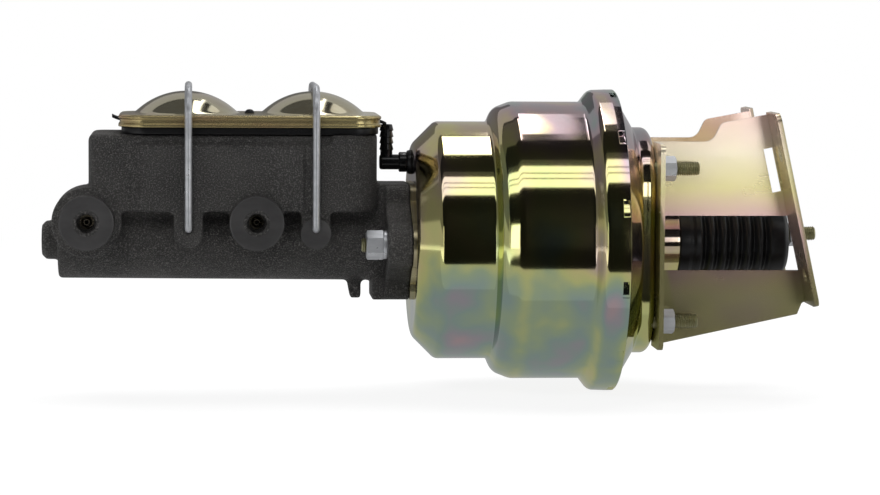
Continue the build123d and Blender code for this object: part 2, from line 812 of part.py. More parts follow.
    # bore, fluid holes and stud holes
    with BuildSketch(Plane.YZ.offset(bore_end_x)):
        Circle(bore_radius)
    extrude(amount=pilot_end_x - bore_end_x, mode=Mode.SUBTRACT)
    snap_groove_x = primary_rear_x + free_gap
    with BuildSketch(Plane.YZ.offset(snap_groove_x)):
        Circle(bore_radius + 1.6)
    extrude(amount=1.8, mode=Mode.SUBTRACT)
    with BuildSketch(Plane.XY.offset(bore_radius - 2)):
        with Locations((front_port_x + 22, 0), (rear_port_x + 26, 0)):
            Circle(3)
        with Locations((front_port_x + 32, 0), (rear_port_x + 36, 0)):
            Circle(1)
    extrude(amount=reservoir_floor - bore_radius + 3, mode=Mode.SUBTRACT)
    with BuildSketch(Plane.YZ.offset(flange_front_x)):
        with Locations((cylinder_stud_y, 0), (-cylinder_stud_y, 0)):
            Circle(cylinder_stud_radius + free_gap)
    extrude(amount=flange_thickness, mode=Mode.SUBTRACT)
    # outlet ports: threaded mouth, seat bore, and a drilling to the cylinder's bore
    for port_x in (front_port_x, rear_port_x):
        with BuildSketch(Plane.XZ.offset(port_face - port_hole_depth)):
            with Locations((port_x, port_z)):
                Circle(port_hole_radius)
        extrude(amount=port_hole_depth, mode=Mode.SUBTRACT)
        with BuildSketch(Plane.XZ.offset(seat_face)):
            with Locations((port_x, port_z)):
                Circle(seat_bore_radius)
        extrude(amount=seat_height, mode=Mode.SUBTRACT)
        with BuildSketch(Plane.XZ):
            with Locations((port_x, port_z - drilling_drop)):
                Circle(drilling_radius)
        extrude(amount=seat_face, mode=Mode.SUBTRACT)
    # holes for the bails' feet
    with BuildSketch(Plane.XZ.offset(-bail_boss_face)):
        with Locations((front_pivot_x, pivot_z), (rear_pivot_x, pivot_z)):
            Circle(bail_wire_radius + running_gap)
    extrude(amount=bail_foot, mode=Mode.SUBTRACT)
    with BuildSketch(Plane.XZ.offset(bail_boss_face)):
        with Locations((front_pivot_x, pivot_z), (rear_pivot_x, pivot_z)):
            Circle(bail_wire_radius + running_gap)
    extrude(amount=-bail_foot, mode=Mode.SUBTRACT)
finish(cylinder_body.part, "cylinder_body")

# Tube seats pressed into the outlet ports: a cone for the flared pipe
seat_hole = 1.3
seat_rim = 1.9
with BuildPart() as tube_seats:
    for port_x in (front_port_x, rear_port_x):
        with BuildSketch(Plane(origin=(port_x, -seat_face, port_z), x_dir=(1, 0, 0), z_dir=(0, 0, 1))):
            with BuildLine():
                Polyline(
                    (seat_hole, 0), (seat_bore_radius - 0.02, 0), (seat_bore_radius - 0.02, -seat_height / 3),
                    (seat_rim + 1.6, -seat_height / 3), (seat_rim, -seat_height + 0.2),
                    (seat_hole, -seat_height + 0.2), close=True,
                )
            make_face()
        revolve(axis=Axis((port_x, 0, port_z), (0, 1, 0)))
finish(tube_seats.part, "tube_seats")

# Plate gasket between the master cylinder's flange and the booster
with BuildPart() as flange_gasket:
    with BuildSketch(Plane.YZ.offset(cylinder_rear_x)):
        add(flange_outline())
        Circle(pilot_hole_radius + 0.1, mode=Mode.SUBTRACT)
        with Locations((cylinder_stud_y, 0), (-cylinder_stud_y, 0)):
            Circle(cylinder_stud_radius + free_gap, mode=Mode.SUBTRACT)
    extrude(amount=gasket_sheet)
finish(flange_gasket.part, "flange_gasket")

cylinder_places = [(-cylinder_stud_y, 0), (cylinder_stud_y, 0)]
with BuildPart() as cylinder_washers:
    with BuildSketch(Plane.YZ.offset(flange_front_x - washer_thickness)):
        with Locations(*cylinder_places):
            Circle(cylinder_nut_flats / 2 + 0.9)
            Circle(cylinder_stud_radius + free_gap, mode=Mode.SUBTRACT)
    extrude(amount=washer_thickness)
finish(cylinder_washers.part, "cylinder_washers")

cylinder_nut = hexagon_nut(cylinder_nut_flats, cylinder_nut_thickness, cylinder_stud_radius + 0.02)
cylinder_nuts = nuts_along_axis(cylinder_nut, flange_front_x - washer_thickness, cylinder_places, way=-1)
finish(cylinder_nuts, "cylinder_nuts")


def dome_solid(x, base_z, inset):
    """A dome as a slice of a ball, its surface moved inwards by the inset."""
    ball = (dome_radius**2 + dome_height**2) / (2 * dome_height)
    base = sqrt((ball - inset)**2 - (ball - dome_height)**2)
    with BuildPart() as dome:
        with BuildSketch(Plane.XZ):
            with BuildLine():
                RadiusArc((0, dome_height - inset), (base, 0), ball - inset)
                Polyline((base, 0), (base, -1), (0, -1), (0, dome_height - inset))
            make_face()
        revolve(axis=Axis.Z)
    return dome.part.moved(Location((x, 0, base_z)))


# Reservoir lid: a shallow pressed tray with a beaded skirt, turned down, and a dome over each reservoir
lid_foot = reservoir_top + gasket_height
tab_z = lid_foot + 2.6
vent_x = (front_dome_x + rear_dome_x) / 2
lid_top = lid_foot + lid_skirt
with BuildPart() as reservoir_lid:
    with BuildSketch(Plane.XY.offset(lid_foot)):
        add(lid_plan(0.7))
    extrude(amount=lid_skirt)
    with BuildSketch(Plane.XY.offset(lid_foot)):
        add(lid_plan(0))
    extrude(amount=1.8)
    with BuildSketch(Plane.XY.offset(lid_top - 3.0)):
        add(lid_plan(0))
    extrude(amount=1.8)
    for dome_x in (front_dome_x, rear_dome_x):
        add(dome_solid(dome_x, lid_top, 0))
    with BuildSketch(Plane.XY.offset(lid_foot)):
        add(lid_plan(0.7 + lid_sheet))
    extrude(amount=lid_skirt - lid_sheet, mode=Mode.SUBTRACT)
    for dome_x in (front_dome_x, rear_dome_x):
        add(dome_solid(dome_x, lid_top, lid_sheet), mode=Mode.SUBTRACT)
        with BuildSketch(Plane.XY.offset(lid_foot + 1)):
            with Locations((dome_x, 0)):
                Circle(dome_radius - 4)
        extrude(amount=lid_skirt - 1, mode=Mode.SUBTRACT)
    with BuildSketch(Plane.XY.offset(tab_z - free_gap)):
        with Locations(((lid_front_x + lid_rear_x) / 2, 0)):
            Rectangle(lid_rear_x - lid_front_x + 1, tab_width + 2 * free_gap)
    extrude(amount=tab_thickness + 2 * free_gap, mode=Mode.SUBTRACT)
    with BuildSketch(Plane.XY.offset(lid_top - lid_sheet)):
        with Locations((vent_x, 0)):
            Circle(vent_radius + free_gap)
    extrude(amount=lid_sheet, mode=Mode.SUBTRACT)
finish(reservoir_lid.part, "reservoir_lid")

# Lid gasket: a rubber sheet on the reservoirs' rim, with a pull tab through a slot in each end of the lid
with BuildPart() as lid_gasket:
    inside = 0.7 + lid_sheet + free_gap
    with BuildSketch(Plane.XY.offset(reservoir_top)):
        add(lid_plan(inside))
    extrude(amount=gasket_height)
    with BuildSketch(Plane.XY.offset(reservoir_top + gasket_height)):
        for end_x, way in ((lid_front_x, 1), (lid_rear_x, -1)):
            with Locations((end_x + way * (inside + 3), 0)):
                Rectangle(6, tab_width)
    extrude(amount=tab_z + tab_thickness - reservoir_top - gasket_height)
    with BuildSketch(Plane.XY.offset(tab_z)):
        for end_x, way in ((lid_front_x, 1), (lid_rear_x, -1)):
            with Locations((end_x + way * (inside + 3 - tab_reach) / 2, 0)):
                Rectangle(inside + 3 + tab_reach, tab_width)
    extrude(amount=tab_thickness)
    with BuildSketch(Plane.XY.offset(reservoir_top + gasket_height)):
        with Locations((vent_x, 0)):
            Circle(vent_radius)
    extrude(amount=lid_skirt + vent_stand)
    fillet(lid_gasket.faces().sort_by(Axis.Z)[-1].edges(), vent_radius / 2)
finish(lid_gasket.part, "lid_gasket")


def bail(pivot_x):
    """A bail of round wire: two legs, a top bar across the dome, and feet turned inwards."""
    foot_y = bail_half_width - bail_foot + 1
    with BuildLine() as path:
        FilletPolyline(
            (pivot_x, -foot_y, pivot_z),
            (pivot_x, -bail_half_width, pivot_z),
            (pivot_x, -bail_half_width, bail_top_z),
            (pivot_x, bail_half_width, bail_top_z),
            (pivot_x, bail_half_width, pivot_z),
            (pivot_x, foot_y, pivot_z),
            radius=[2.6, bail_corner, bail_corner, 2.6],
        )
    with BuildPart() as wire:
        with BuildSketch(Plane(origin=path.line @ 0, z_dir=path.line % 0)):
            Circle(bail_wire_radius)
        sweep(path=path.line)
    return wire.part


finish(bail(front_pivot_x), "front_bail")
finish(bail(rear_pivot_x), "rear_bail")

# Check valve: a plug through the shell's grommet, a collar, and a barbed nozzle standing up
with BuildPart() as check_valve:
    with BuildSketch(Plane(origin=(nozzle_x, valve_y, valve_z), z_dir=(1, 0, 0))):
        Circle(valve_barrel_radius)
    extrude(amount=spring_front_x + 4 - nozzle_x)
    with BuildSketch(Plane(origin=(front_x - 3 - valve_collar_length, valve_y, valve_z), z_dir=(1, 0, 0))):
        Circle(valve_collar_radius)
    extrude(amount=valve_collar_length)
    with BuildSketch(Plane(origin=(nozzle_x - nozzle_radius, valve_y, valve_z), z_dir=(1, 0, 0))):
        Circle(valve_barrel_radius)
    extrude(amount=nozzle_radius + 1)
    with BuildSketch(Plane(origin=(nozzle_x, valve_y, 0), x_dir=(1, 0, 0), z_dir=(0, -1, 0))):
        with BuildLine():
            barb = (nozzle_top - valve_z - 8) / 3
            steps = [(0, valve_z), (nozzle_radius - 0.6, valve_z), (nozzle_radius - 0.6, valve_z + 8)]
            for index in range(3):
                foot = valve_z + 8 + index * barb
                steps += [(nozzle_radius, foot), (nozzle_radius - 0.7, foot + barb)]
            Polyline(*steps, (0, nozzle_top), close=True)
        make_face()
    revolve(axis=Axis((nozzle_x, valve_y, 0), (0, 0, 1)))
    with BuildSketch(Plane(origin=(nozzle_x, valve_y, valve_z), z_dir=(0, 0, 1))):
        Circle(2.2)
    extrude(amount=nozzle_top - valve_z, mode=Mode.SUBTRACT)
    with BuildSketch(Plane(origin=(nozzle_x, valve_y, valve_z), z_dir=(1, 0, 0))):
        Circle(2.2)
    extrude(amount=spring_front_x + 4 - nozzle_x, mode=Mode.SUBTRACT)
finish(check_valve.part, "check_valve")

with BuildPart() as valve_grommet:
    with BuildSketch(Plane(origin=(0, valve_y, valve_z), x_dir=(1, 0, 0), z_dir=(0, -1, 0))):
        with BuildLine():
            inner = valve_barrel_radius + 0.02
            waist = grommet_radius - 1.55
            Polyline(
                (front_x - 3, inner), (front_x - 3, grommet_radius - 1), (front_x - 0.02, grommet_radius),
                (front_x - 0.02, waist), (spring_front_x + 0.02, waist), (spring_front_x + 0.02, grommet_radius),
                (spring_front_x + 3, grommet_radius - 1.5), (spring_front_x + 3, inner), close=True,
            )
        make_face()
    revolve(axis=Axis((0, valve_y, valve_z), (1, 0, 0)))
finish(valve_grommet.part, "valve_grommet")


# Support plates: pressed discs that carry the diaphragms on the valve body
step_seat = tail_radius + 0.4
plate_bore = step_seat + 0.05
step_radius = 38.0
step_depth = 9.5
rear_lip_x = rear_plate_x - step_depth
with BuildPart() as rear_support_plate:
    plate_line = [
        (rear_plate_x, plate_bore),
        (rear_plate_x, step_radius),
        (rear_lip_x, step_radius + step_depth),
        (rear_lip_x, rear_plate_radius - plate_sheet),
        (rear_lip_x - 7.5, rear_plate_radius - plate_sheet),
    ]
    revolve(pressed(plate_line, [3, 3, 3], plate_sheet), axis=Axis.X)
finish(rear_support_plate.part, "rear_support_plate")

front_plate_face_x = front_plate_x - plate_sheet
with BuildPart() as front_support_plate:
    plate_line = [
        (front_plate_face_x, plate_bore),
        (front_plate_face_x, front_plate_radius - 9.5),
        (front_plate_face_x - 8, front_plate_radius - plate_sheet),
        (front_plate_face_x - 15, front_plate_radius - plate_sheet),
    ]
    revolve(pressed(plate_line, [4, 3], plate_sheet), axis=Axis.X)
finish(front_support_plate.part, "front_support_plate")

# Rings that hold each plate on the valve body
with BuildPart() as front_plate_ring:
    revolve(turned(
        (front_plate_face_x - 1.2, plate_bore), (front_plate_face_x - 1.2, sleeve_radius + 1),
        (front_plate_face_x, sleeve_radius + 1), (front_plate_face_x, plate_bore),
    ), axis=Axis.X)
finish(front_plate_ring.part, "front_plate_ring")

# Diaphragms: moulded rubber, a thick bead clamped at the rim and a thin web over the plate
with BuildPart() as rear_diaphragm:
    behind = plate_sheet + free_gap
    web_line = [
        (rear_plate_x + behind, tail_radius + 0.1),
        (rear_plate_x + behind, step_radius + 0.7),
        (rear_lip_x + behind, step_radius + step_depth + 0.7),
        (rear_lip_x + behind, rear_plate_radius + 0.35),
        (rear_flange_x - 2.8, rear_plate_radius + 0.35),
        (rear_flange_x - 2.8, ring_radius - 9),
    ]
    revolve(pressed(web_line, [3, 3, 3, 3], rubber), axis=Axis.X)
    revolve(turned(
        (bead_front_x + 0.1, ring_radius - 9.5),
        (bead_front_x + 0.1, ring_radius - shell_sheet - 0.4),
        (rear_flange_x - 0.1, ring_radius - shell_sheet - 0.4),
        (rear_flange_x - 0.1, ring_radius - 4.8),
        (rear_flange_x - 1.2, ring_radius - 9.5),
    ), axis=Axis.X)
finish(rear_diaphragm.part, "rear_diaphragm")

divider_face_x = divider_rim_x - divider_sheet
with BuildPart() as front_diaphragm:
    front_lip_x = divider_face_x - 2.5
    web_line = [
        (front_plate_x + free_gap, sleeve_radius + 0.1),
        (front_plate_x + free_gap, front_plate_radius - 8.8),
        (front_plate_x + free_gap - 8, front_plate_radius + 0.5),
        (front_lip_x, front_plate_radius + 0.5),
        (front_lip_x, divider_cup_radius + 4.5),
    ]
    revolve(pressed(web_line, [4, 3, 3], rubber), axis=Axis.X)
    revolve(turned(
        (divider_face_x - 0.1, divider_cup_radius + 3.5),
        (divider_face_x - 0.1, divider_cup_radius + 11),
        (divider_face_x - 5.5, divider_cup_radius + 11),
        (divider_face_x - 10.5, divider_cup_radius + 7.5),
        (divider_face_x - 12, divider_cup_radius + 4),
        (divider_face_x - 9.5, divider_cup_radius + 3.5),
    ), axis=Axis.X)
finish(front_diaphragm.part, "front_diaphragm")

# Valve body: a sleeve through the divider, a flange for the rear plate, and a tail through the rear hub
tail_bore = tail_radius - tail_wall
key_x = plunger_neck_x + plunger_neck_length / 2
with BuildPart() as valve_body:
    revolve(turned(
        (sleeve_end_x, reaction_radius + running_gap),
        (sleeve_end_x, step_seat),
        (front_plate_x, step_seat),
        (front_plate_x, sleeve_radius),
        (valve_flange_x, sleeve_radius),
        (valve_flange_x, valve_flange_radius),
        (rear_plate_x, valve_flange_radius),
        (rear_plate_x, step_seat),
        (rear_plate_x + plate_sheet, step_seat),
        (rear_plate_x + plate_sheet, tail_radius),
        (tail_end_x - 1, tail_radius),
        (tail_end_x, tail_radius - 1),
        (tail_end_x, tail_bore),
        (seat_x - 4, tail_bore),
        (seat_x - 4, plunger_radius + 4),
        (seat_x, plunger_radius + 3.4),
        (seat_x, plunger_radius + 2.4),
        (seat_x - 2, plunger_radius + running_gap),
        (reaction_rear_x, plunger_radius + running_gap),
        (reaction_rear_x, reaction_radius + running_gap),
    ), axis=Axis.X)
    with BuildSketch(Plane.XY.offset(-9)):
        with Locations((key_x, 0)):
            Rectangle(key_thickness + 0.1, key_width + free_gap)
    extrude(amount=9 + sleeve_radius + 1, mode=Mode.SUBTRACT)
finish(valve_body.part, "valve_body")

# Plunger key: a fork through the valve body that straddles the plunger's neck
with BuildPart() as plunger_key:
    key_top = sqrt(sleeve_radius**2 - (key_width / 2)**2) - free_gap
    with BuildSketch(Plane.YZ.offset(key_x - key_thickness / 2)):
        with Locations((0, (key_top - 8.5) / 2)):
            Rectangle(key_width, key_top + 8.5)
        with Locations((0, -5)):
            Rectangle(2 * plunger_neck_radius + 2 * free_gap, 10, mode=Mode.SUBTRACT)
        Circle(plunger_neck_radius + free_gap, mode=Mode.SUBTRACT)
    extrude(amount=key_thickness)
finish(plunger_key.part, "plunger_key")

with BuildPart() as reaction_disc:
    with BuildSketch(Plane.YZ.offset(reaction_front_x)):
        Circle(reaction_radius)
    extrude(amount=reaction_disc_length)
    fillet(reaction_disc.edges(), 0.8)
finish(reaction_disc.part, "reaction_disc")

# Output rod: a broad head on the reaction disc, and a stem into the primary piston's pocket
pocket_depth = 26.0
pocket_end_x = primary_rear_x - pocket_depth
tip_length = 9.0
tip_x = pocket_end_x + 0.5
stem_radius = 6.0
with BuildPart() as output_rod:
    revolve(turned(
        (tip_x + tip_length, 0),
        (tip_x + tip_length, stem_radius - 0.6),
        (tip_x + tip_length + 0.6, stem_radius),
        (reaction_front_x - 7, stem_radius),
        (reaction_front_x - 4, stem_radius + 3),
        (reaction_front_x - 4, reaction_radius),
        (reaction_front_x, reaction_radius),
        (reaction_front_x, 0),
    ), axis=Axis.X)
    with BuildSketch(Plane.YZ.offset(tip_x + tip_length)):
        Circle(3.05)
    extrude(amount=12, mode=Mode.SUBTRACT)
finish(output_rod.part, "output_rod")

with BuildPart() as output_tip:
    with BuildSketch(Plane.YZ.offset(tip_x + 3)):
        RegularPolygon(radius=5, side_count=6, major_radius=False)
    extrude(amount=tip_length - 3)
    with BuildSketch(Plane.YZ.offset(tip_x + 3)):
        Circle(3)
    extrude(amount=tip_length + 7)
    revolve(turned((tip_x, 0), (tip_x + 0.4, 2.2), (tip_x + 1.6, 3.8), (tip_x + 3, 4.6), (tip_x + 3, 0)),
            axis=Axis.X)
finish(output_tip.part, "output_tip")

# Return spring, between the front shell and the front plate
return_coil_radius = 30.0
return_spring = coiled(spring_front_x, front_plate_face_x, return_coil_radius, 1.9, 5)
finish(return_spring, "return_spring")

# Plunger, with a round socket for the input rod's ball
with BuildPart() as valve_plunger:
    neck_rear_x = plunger_neck_x + plunger_neck_length
    revolve(turned(
        (plunger_front_x, 0),
        (plunger_front_x, plunger_radius - 1),
        (plunger_front_x + 1, plunger_radius),
        (plunger_neck_x, plunger_radius),
        (plunger_neck_x, plunger_neck_radius),
        (neck_rear_x, plunger_neck_radius),
        (neck_rear_x, plunger_radius),
        (plunger_rear_x, plunger_radius),
        (plunger_rear_x, 0),
    ), axis=Axis.X)
    with Locations((ball_x, 0, 0)):
        Sphere(ball_radius + running_gap, mode=Mode.SUBTRACT)
finish(valve_plunger.part, "valve_plunger")

# Input rod: ball, neck, spring collar, and a long shank to its threaded end; drawn along its own tilted axis
rod_plane = Plane(origin=(ball_x, 0, 0), x_dir=rod_axis, z_dir=(0, -1, 0))
rod_line = Axis((ball_x, 0, 0), rod_axis)
rod_length = (rod_end_x - ball_x) / cos(radians(rod_tilt))
collar_at = 38.5
rod_nut_at = (-0.1 - ball_x) / cos(radians(rod_tilt))
thread_at = rod_nut_at + rod_nut_thickness
with BuildPart() as input_rod:
    with BuildSketch(rod_plane):
        with BuildLine():
            Polyline(
                (0, 0), (0, 3.3), (8, 3.3), (10, rod_radius), (collar_at, rod_radius), (collar_at, 10.5),
                (collar_at + 2, 10.5), (collar_at + 2, rod_radius), (thread_at, rod_radius),
                (thread_at, rod_thread_radius), (rod_length - 1, rod_thread_radius),
                (rod_length, rod_thread_radius - 1), (rod_length, 0), close=True,
            )
        make_face()
    revolve(axis=rod_line)
    with Locations((ball_x, 0, 0)):
        Sphere(ball_radius)
finish(input_rod.part, "input_rod")

with BuildPart() as rod_nut:
    with Locations(Plane(origin=Vector(ball_x, 0, 0) + rod_axis * rod_nut_at, z_dir=rod_axis)):
        add(hexagon_nut(rod_nut_flats, rod_nut_thickness, rod_radius + 0.02))
finish(rod_nut.part, "rod_nut")

# Poppet valve: rubber face on a folded sleeve, its retainer, and the two springs behind it
poppet_x = plunger_rear_x + free_gap
retainer_x = poppet_x + 14.5
with BuildPart() as poppet:
    revolve(turned(
        (poppet_x, 6.5), (poppet_x, tail_bore - 1.4), (poppet_x + 2, tail_bore - 1.4),
        (poppet_x + 2, 12.4), (retainer_x - 2, 12.4), (retainer_x - 2, tail_bore - 0.1),
        (retainer_x, tail_bore - 0.1), (retainer_x, 11), (poppet_x + 2, 11), (poppet_x + 2, 6.5),
    ), axis=Axis.X)
finish(poppet.part, "poppet")

with BuildPart() as poppet_retainer:
    revolve(turned(
        (retainer_x, 8.3), (retainer_x, tail_bore - 0.05), (retainer_x + 5, tail_bore - 0.05),
        (retainer_x + 5, tail_bore - 1.3), (retainer_x + 1, tail_bore - 1.3), (retainer_x + 1, 8.3),
    ), axis=Axis.X)
finish(poppet_retainer.part, "poppet_retainer")

poppet_spring = coiled(poppet_x + 2.1, retainer_x - 0.1, 9.2, 0.6, 4)
finish(poppet_spring, "poppet_spring")
rod_spring = coiled(retainer_x + 1.1, ball_x + collar_at - 0.6, 9.5, 0.9, 4)
finish(rod_spring, "rod_spring")

# Air filter, silencer and their retaining ring in the tail
filter_x = tail_end_x - 28
with BuildPart() as air_filter:
    revolve(turned(
        (filter_x, 9.5), (filter_x, tail_bore - 0.05), (filter_x + 16, tail_bore - 0.05), (filter_x + 16, 9.5),
    ), axis=Axis.X)
finish(air_filter.part, "air_filter")
with BuildPart() as silencer:
    revolve(turned(
        (filter_x + 16, 9.5), (filter_x + 16, tail_bore - 0.05),
        (filter_x + 22, tail_bore - 0.05), (filter_x + 22, 9.5),
    ), axis=Axis.X)
finish(silencer.part, "silencer")
with BuildPart() as filter_ring:
    revolve(turned(
        (filter_x + 22, 10), (filter_x + 22, tail_bore - 0.05),
        (filter_x + 23.5, tail_bore - 0.05), (filter_x + 23.5, 10),
    ), axis=Axis.X)
finish(filter_ring.part, "filter_ring")

# Boot: a cuff on the hub, folds, and a rounded end with a hole for the rod
fold_start_x = cuff_front_x + boot_cuff_length
fold_end_x = boot_end_x - 11.5
fold_pitch = (fold_end_x - fold_start_x) / boot_folds
outer_line = [(cuff_front_x + 0.1, boot_crest_radius)]
inner_line = [(cuff_front_x + 0.1, cuff_seat_radius + 0.1), (hub_end_x + 0.5, cuff_seat_radius + 0.1)]
for index in range(boot_folds):
    start = fold_start_x + index * fold_pitch
    outer_line += [
        (start, boot_crest_radius), (start + 0.35 * fold_pitch, boot_groove_radius),
        (start + 0.65 * fold_pitch, boot_groove_radius),
    ]
    inner_line += [
        (start, boot_crest_radius - boot_wall), (start + 0.35 * fold_pitch, boot_groove_radius - boot_wall),
        (start + 0.65 * fold_pitch, boot_groove_radius - boot_wall),
    ]
outer_line += [(fold_end_x, boot_crest_radius), (boot_end_x - 3, boot_crest_radius - 0.8),
               (boot_end_x, boot_crest_radius - 4.5), (boot_end_x, 3)]
inner_line += [(fold_end_x, boot_crest_radius - boot_wall), (boot_end_x - 4, boot_crest_radius - 2.4),
               (boot_end_x - boot_wall - 1, boot_crest_radius - 5.5), (boot_end_x - boot_wall - 1, 3)]
with BuildPart() as boot:
    revolve(turned(*outer_line, *reversed(inner_line)), axis=Axis.X)
    with BuildSketch(Plane(origin=Vector(ball_x, 0, 0) + rod_axis * 110, z_dir=rod_axis)):
        Circle(rod_radius + free_gap)
    extrude(amount=20, mode=Mode.SUBTRACT)
finish(boot.part, "boot")

# Pistons of the master cylinder, with their cups, springs and snap ring
piston_radius = bore_radius - running_gap
cup_length = 5.5
primary_front_x = primary_rear_x - primary_length
secondary_front_x = secondary_rear_x - secondary_length


def cup(x, root_radius):
    """A rubber cup in a piston's groove, from the plane at x forwards to its flared lip."""
    return turned(
        (x, root_radius), (x, piston_radius - 0.3), (x + cup_length, piston_radius - 1.2),
        (x + cup_length, root_radius),
    )


primary_groove_x = primary_rear_x - 20
primary_head_x = primary_front_x + 2.2
with BuildPart() as primary_piston:
    revolve(turned(
        (primary_front_x, 0), (primary_front_x, 10), (primary_head_x, 10), (primary_head_x, 8),
        (primary_head_x + cup_length + 0.6, 8), (primary_head_x + cup_length + 0.6, piston_radius),
        (primary_head_x + cup_length + 4, piston_radius), (primary_head_x + cup_length + 4, 10.8),
        (primary_groove_x - 3, 10.8), (primary_groove_x - 3, piston_radius), (primary_groove_x, piston_radius),
        (primary_groove_x, 9.2), (primary_groove_x + cup_length + 0.6, 9.2),
        (primary_groove_x + cup_length + 0.6, piston_radius), (primary_rear_x, piston_radius),
        (primary_rear_x, 7.5), (pocket_end_x, 7.5), (pocket_end_x, 0),
    ), axis=Axis.X)
finish(primary_piston.part, "primary_piston")
with BuildPart() as primary_cups:
    revolve(cup(primary_head_x + 0.1, 8.02), axis=Axis.X)
    revolve(cup(primary_groove_x + 0.1, 9.22), axis=Axis.X)
finish(primary_cups.part, "primary_cups")

secondary_head_x = secondary_front_x + 2.2
secondary_groove_x = secondary_rear_x - 2.2 - cup_length - 0.6
with BuildPart() as secondary_piston:
    revolve(turned(
        (secondary_front_x, 0), (secondary_front_x, 10), (secondary_head_x, 10), (secondary_head_x, 8),
        (secondary_head_x + cup_length + 0.6, 8), (secondary_head_x + cup_length + 0.6, piston_radius),
        (secondary_head_x + cup_length + 4, piston_radius), (secondary_head_x + cup_length + 4, 9.5),
        (secondary_groove_x - 3, 9.5), (secondary_groove_x - 3, piston_radius),
        (secondary_groove_x, piston_radius), (secondary_groove_x, 8),
        (secondary_groove_x + cup_length + 0.6, 8), (secondary_groove_x + cup_length + 0.6, 11),
        (secondary_rear_x, 11), (secondary_rear_x, 0),
    ), axis=Axis.X)
finish(secondary_piston.part, "secondary_piston")
with BuildPart() as secondary_cups:
    revolve(cup(secondary_head_x + 0.1, 8.02), axis=Axis.X)
    revolve(cup(secondary_groove_x + 0.1, 8.02), axis=Axis.X)
finish(secondary_cups.part, "secondary_cups")

finish(coiled(secondary_rear_x, primary_front_x, 9.0, 1.2, 5), "primary_spring")
finish(coiled(bore_end_x, secondary_front_x, 9.0, 1.2, 7), "secondary_spring")

with BuildPart() as snap_ring:
    with BuildSketch(Plane.YZ.offset(snap_groove_x + 0.15)):
        Circle(bore_radius + 1.4)
        Circle(bore_radius - 1.6, mode=Mode.SUBTRACT)
        with Locations((0, -bore_radius)):
            Rectangle(8, 8, mode=Mode.SUBTRACT)
    extrude(amount=1.5)
finish(snap_ring.part, "snap_ring")
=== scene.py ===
# %% [markdown]
# # A vacuum brake booster with its master cylinder
#
# The CAD model holds every piece at its real size. This lesson dresses it: each visible piece gets a finer
# surface where a CAD facet would show in a reflection, and every piece gets a finish. Lengths are in
# millimetres here, because the drawing is, and one helper turns them into Blender's metres.

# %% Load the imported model
import json
from math import atan2, cos, pi, radians, sin

import bmesh
import bpy
import numpy as np
from mathutils import Matrix, Vector


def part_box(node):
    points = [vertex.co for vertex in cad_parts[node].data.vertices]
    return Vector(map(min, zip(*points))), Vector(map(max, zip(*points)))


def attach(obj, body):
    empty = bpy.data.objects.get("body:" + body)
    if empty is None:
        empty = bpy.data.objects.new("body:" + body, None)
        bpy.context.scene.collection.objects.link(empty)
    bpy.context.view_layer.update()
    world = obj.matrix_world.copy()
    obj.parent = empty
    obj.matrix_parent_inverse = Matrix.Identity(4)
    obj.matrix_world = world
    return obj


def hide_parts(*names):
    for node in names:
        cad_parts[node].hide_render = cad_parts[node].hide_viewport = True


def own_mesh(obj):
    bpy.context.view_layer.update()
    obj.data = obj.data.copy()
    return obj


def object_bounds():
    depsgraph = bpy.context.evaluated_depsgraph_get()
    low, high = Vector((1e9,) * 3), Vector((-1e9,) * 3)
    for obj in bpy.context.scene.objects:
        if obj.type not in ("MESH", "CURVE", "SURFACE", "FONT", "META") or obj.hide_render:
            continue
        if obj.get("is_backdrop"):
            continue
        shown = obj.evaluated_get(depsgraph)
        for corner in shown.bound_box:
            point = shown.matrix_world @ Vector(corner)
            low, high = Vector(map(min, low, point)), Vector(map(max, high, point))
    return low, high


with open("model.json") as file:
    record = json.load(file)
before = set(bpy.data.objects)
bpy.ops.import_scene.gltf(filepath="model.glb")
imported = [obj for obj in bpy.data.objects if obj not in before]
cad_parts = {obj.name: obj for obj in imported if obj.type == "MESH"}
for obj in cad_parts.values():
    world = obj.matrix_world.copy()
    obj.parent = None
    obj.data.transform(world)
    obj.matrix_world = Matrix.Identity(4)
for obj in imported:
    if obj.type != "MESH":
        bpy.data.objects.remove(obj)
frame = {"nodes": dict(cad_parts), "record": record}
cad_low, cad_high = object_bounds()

MM = 0.001
nodes = frame["nodes"]
slot_of = {row["node"]: row["material_slot"] for row in frame["record"]["subparts"]}
body_of = {node: body for body, members in frame["record"]["behaviour"]["bodies"].items() for node in members}


def put(name, data):
    """A new object, in the scene's collection."""
    made = bpy.data.objects.new(name, data)
    bpy.context.collection.objects.link(made)
    return made


print("pieces in the frame:", len(nodes))

# %% [markdown]
# ## Camera
#
# The photograph was taken from the side, a little above and a little towards the master cylinder, through a
# long lens. A camera that looks along that line from the same distance gives the same perspective. The lens
# follows from the scale: so many pixels for a millimetre at the distance of the axis.

# %% The camera
picture_width, sensor_width = 880, 36.0
camera_turn = radians(-4.7)
camera_rise = radians(4.7)
camera_distance = 2000.0
pixels_per_mm = 1.508
sight = Vector((-233.8, 0.0, -5.15)) * MM
away = Vector((sin(camera_turn) * cos(camera_rise), -cos(camera_turn) * cos(camera_rise), sin(camera_rise)))
camera_data = bpy.data.cameras.new("camera")
camera_data.sensor_width = sensor_width
camera_data.lens = sensor_width * pixels_per_mm * camera_distance / picture_width
camera_data.clip_start = 0.05
camera_data.clip_end = 50.0
camera = put("camera", camera_data)
upright = (-away).to_track_quat("-Z", "Y").to_matrix()
level = atan2(upright.col[1].x, upright.col[0].x)
facing = upright @ Matrix.Rotation(level, 3, "Z")
camera.matrix_world = Matrix.Translation(sight + away * camera_distance * MM) @ facing.to_4x4()
bpy.context.scene.camera = camera
bpy.context.scene.view_settings.view_transform = "Standard"
print("lens", round(camera_data.lens, 1), "mm")

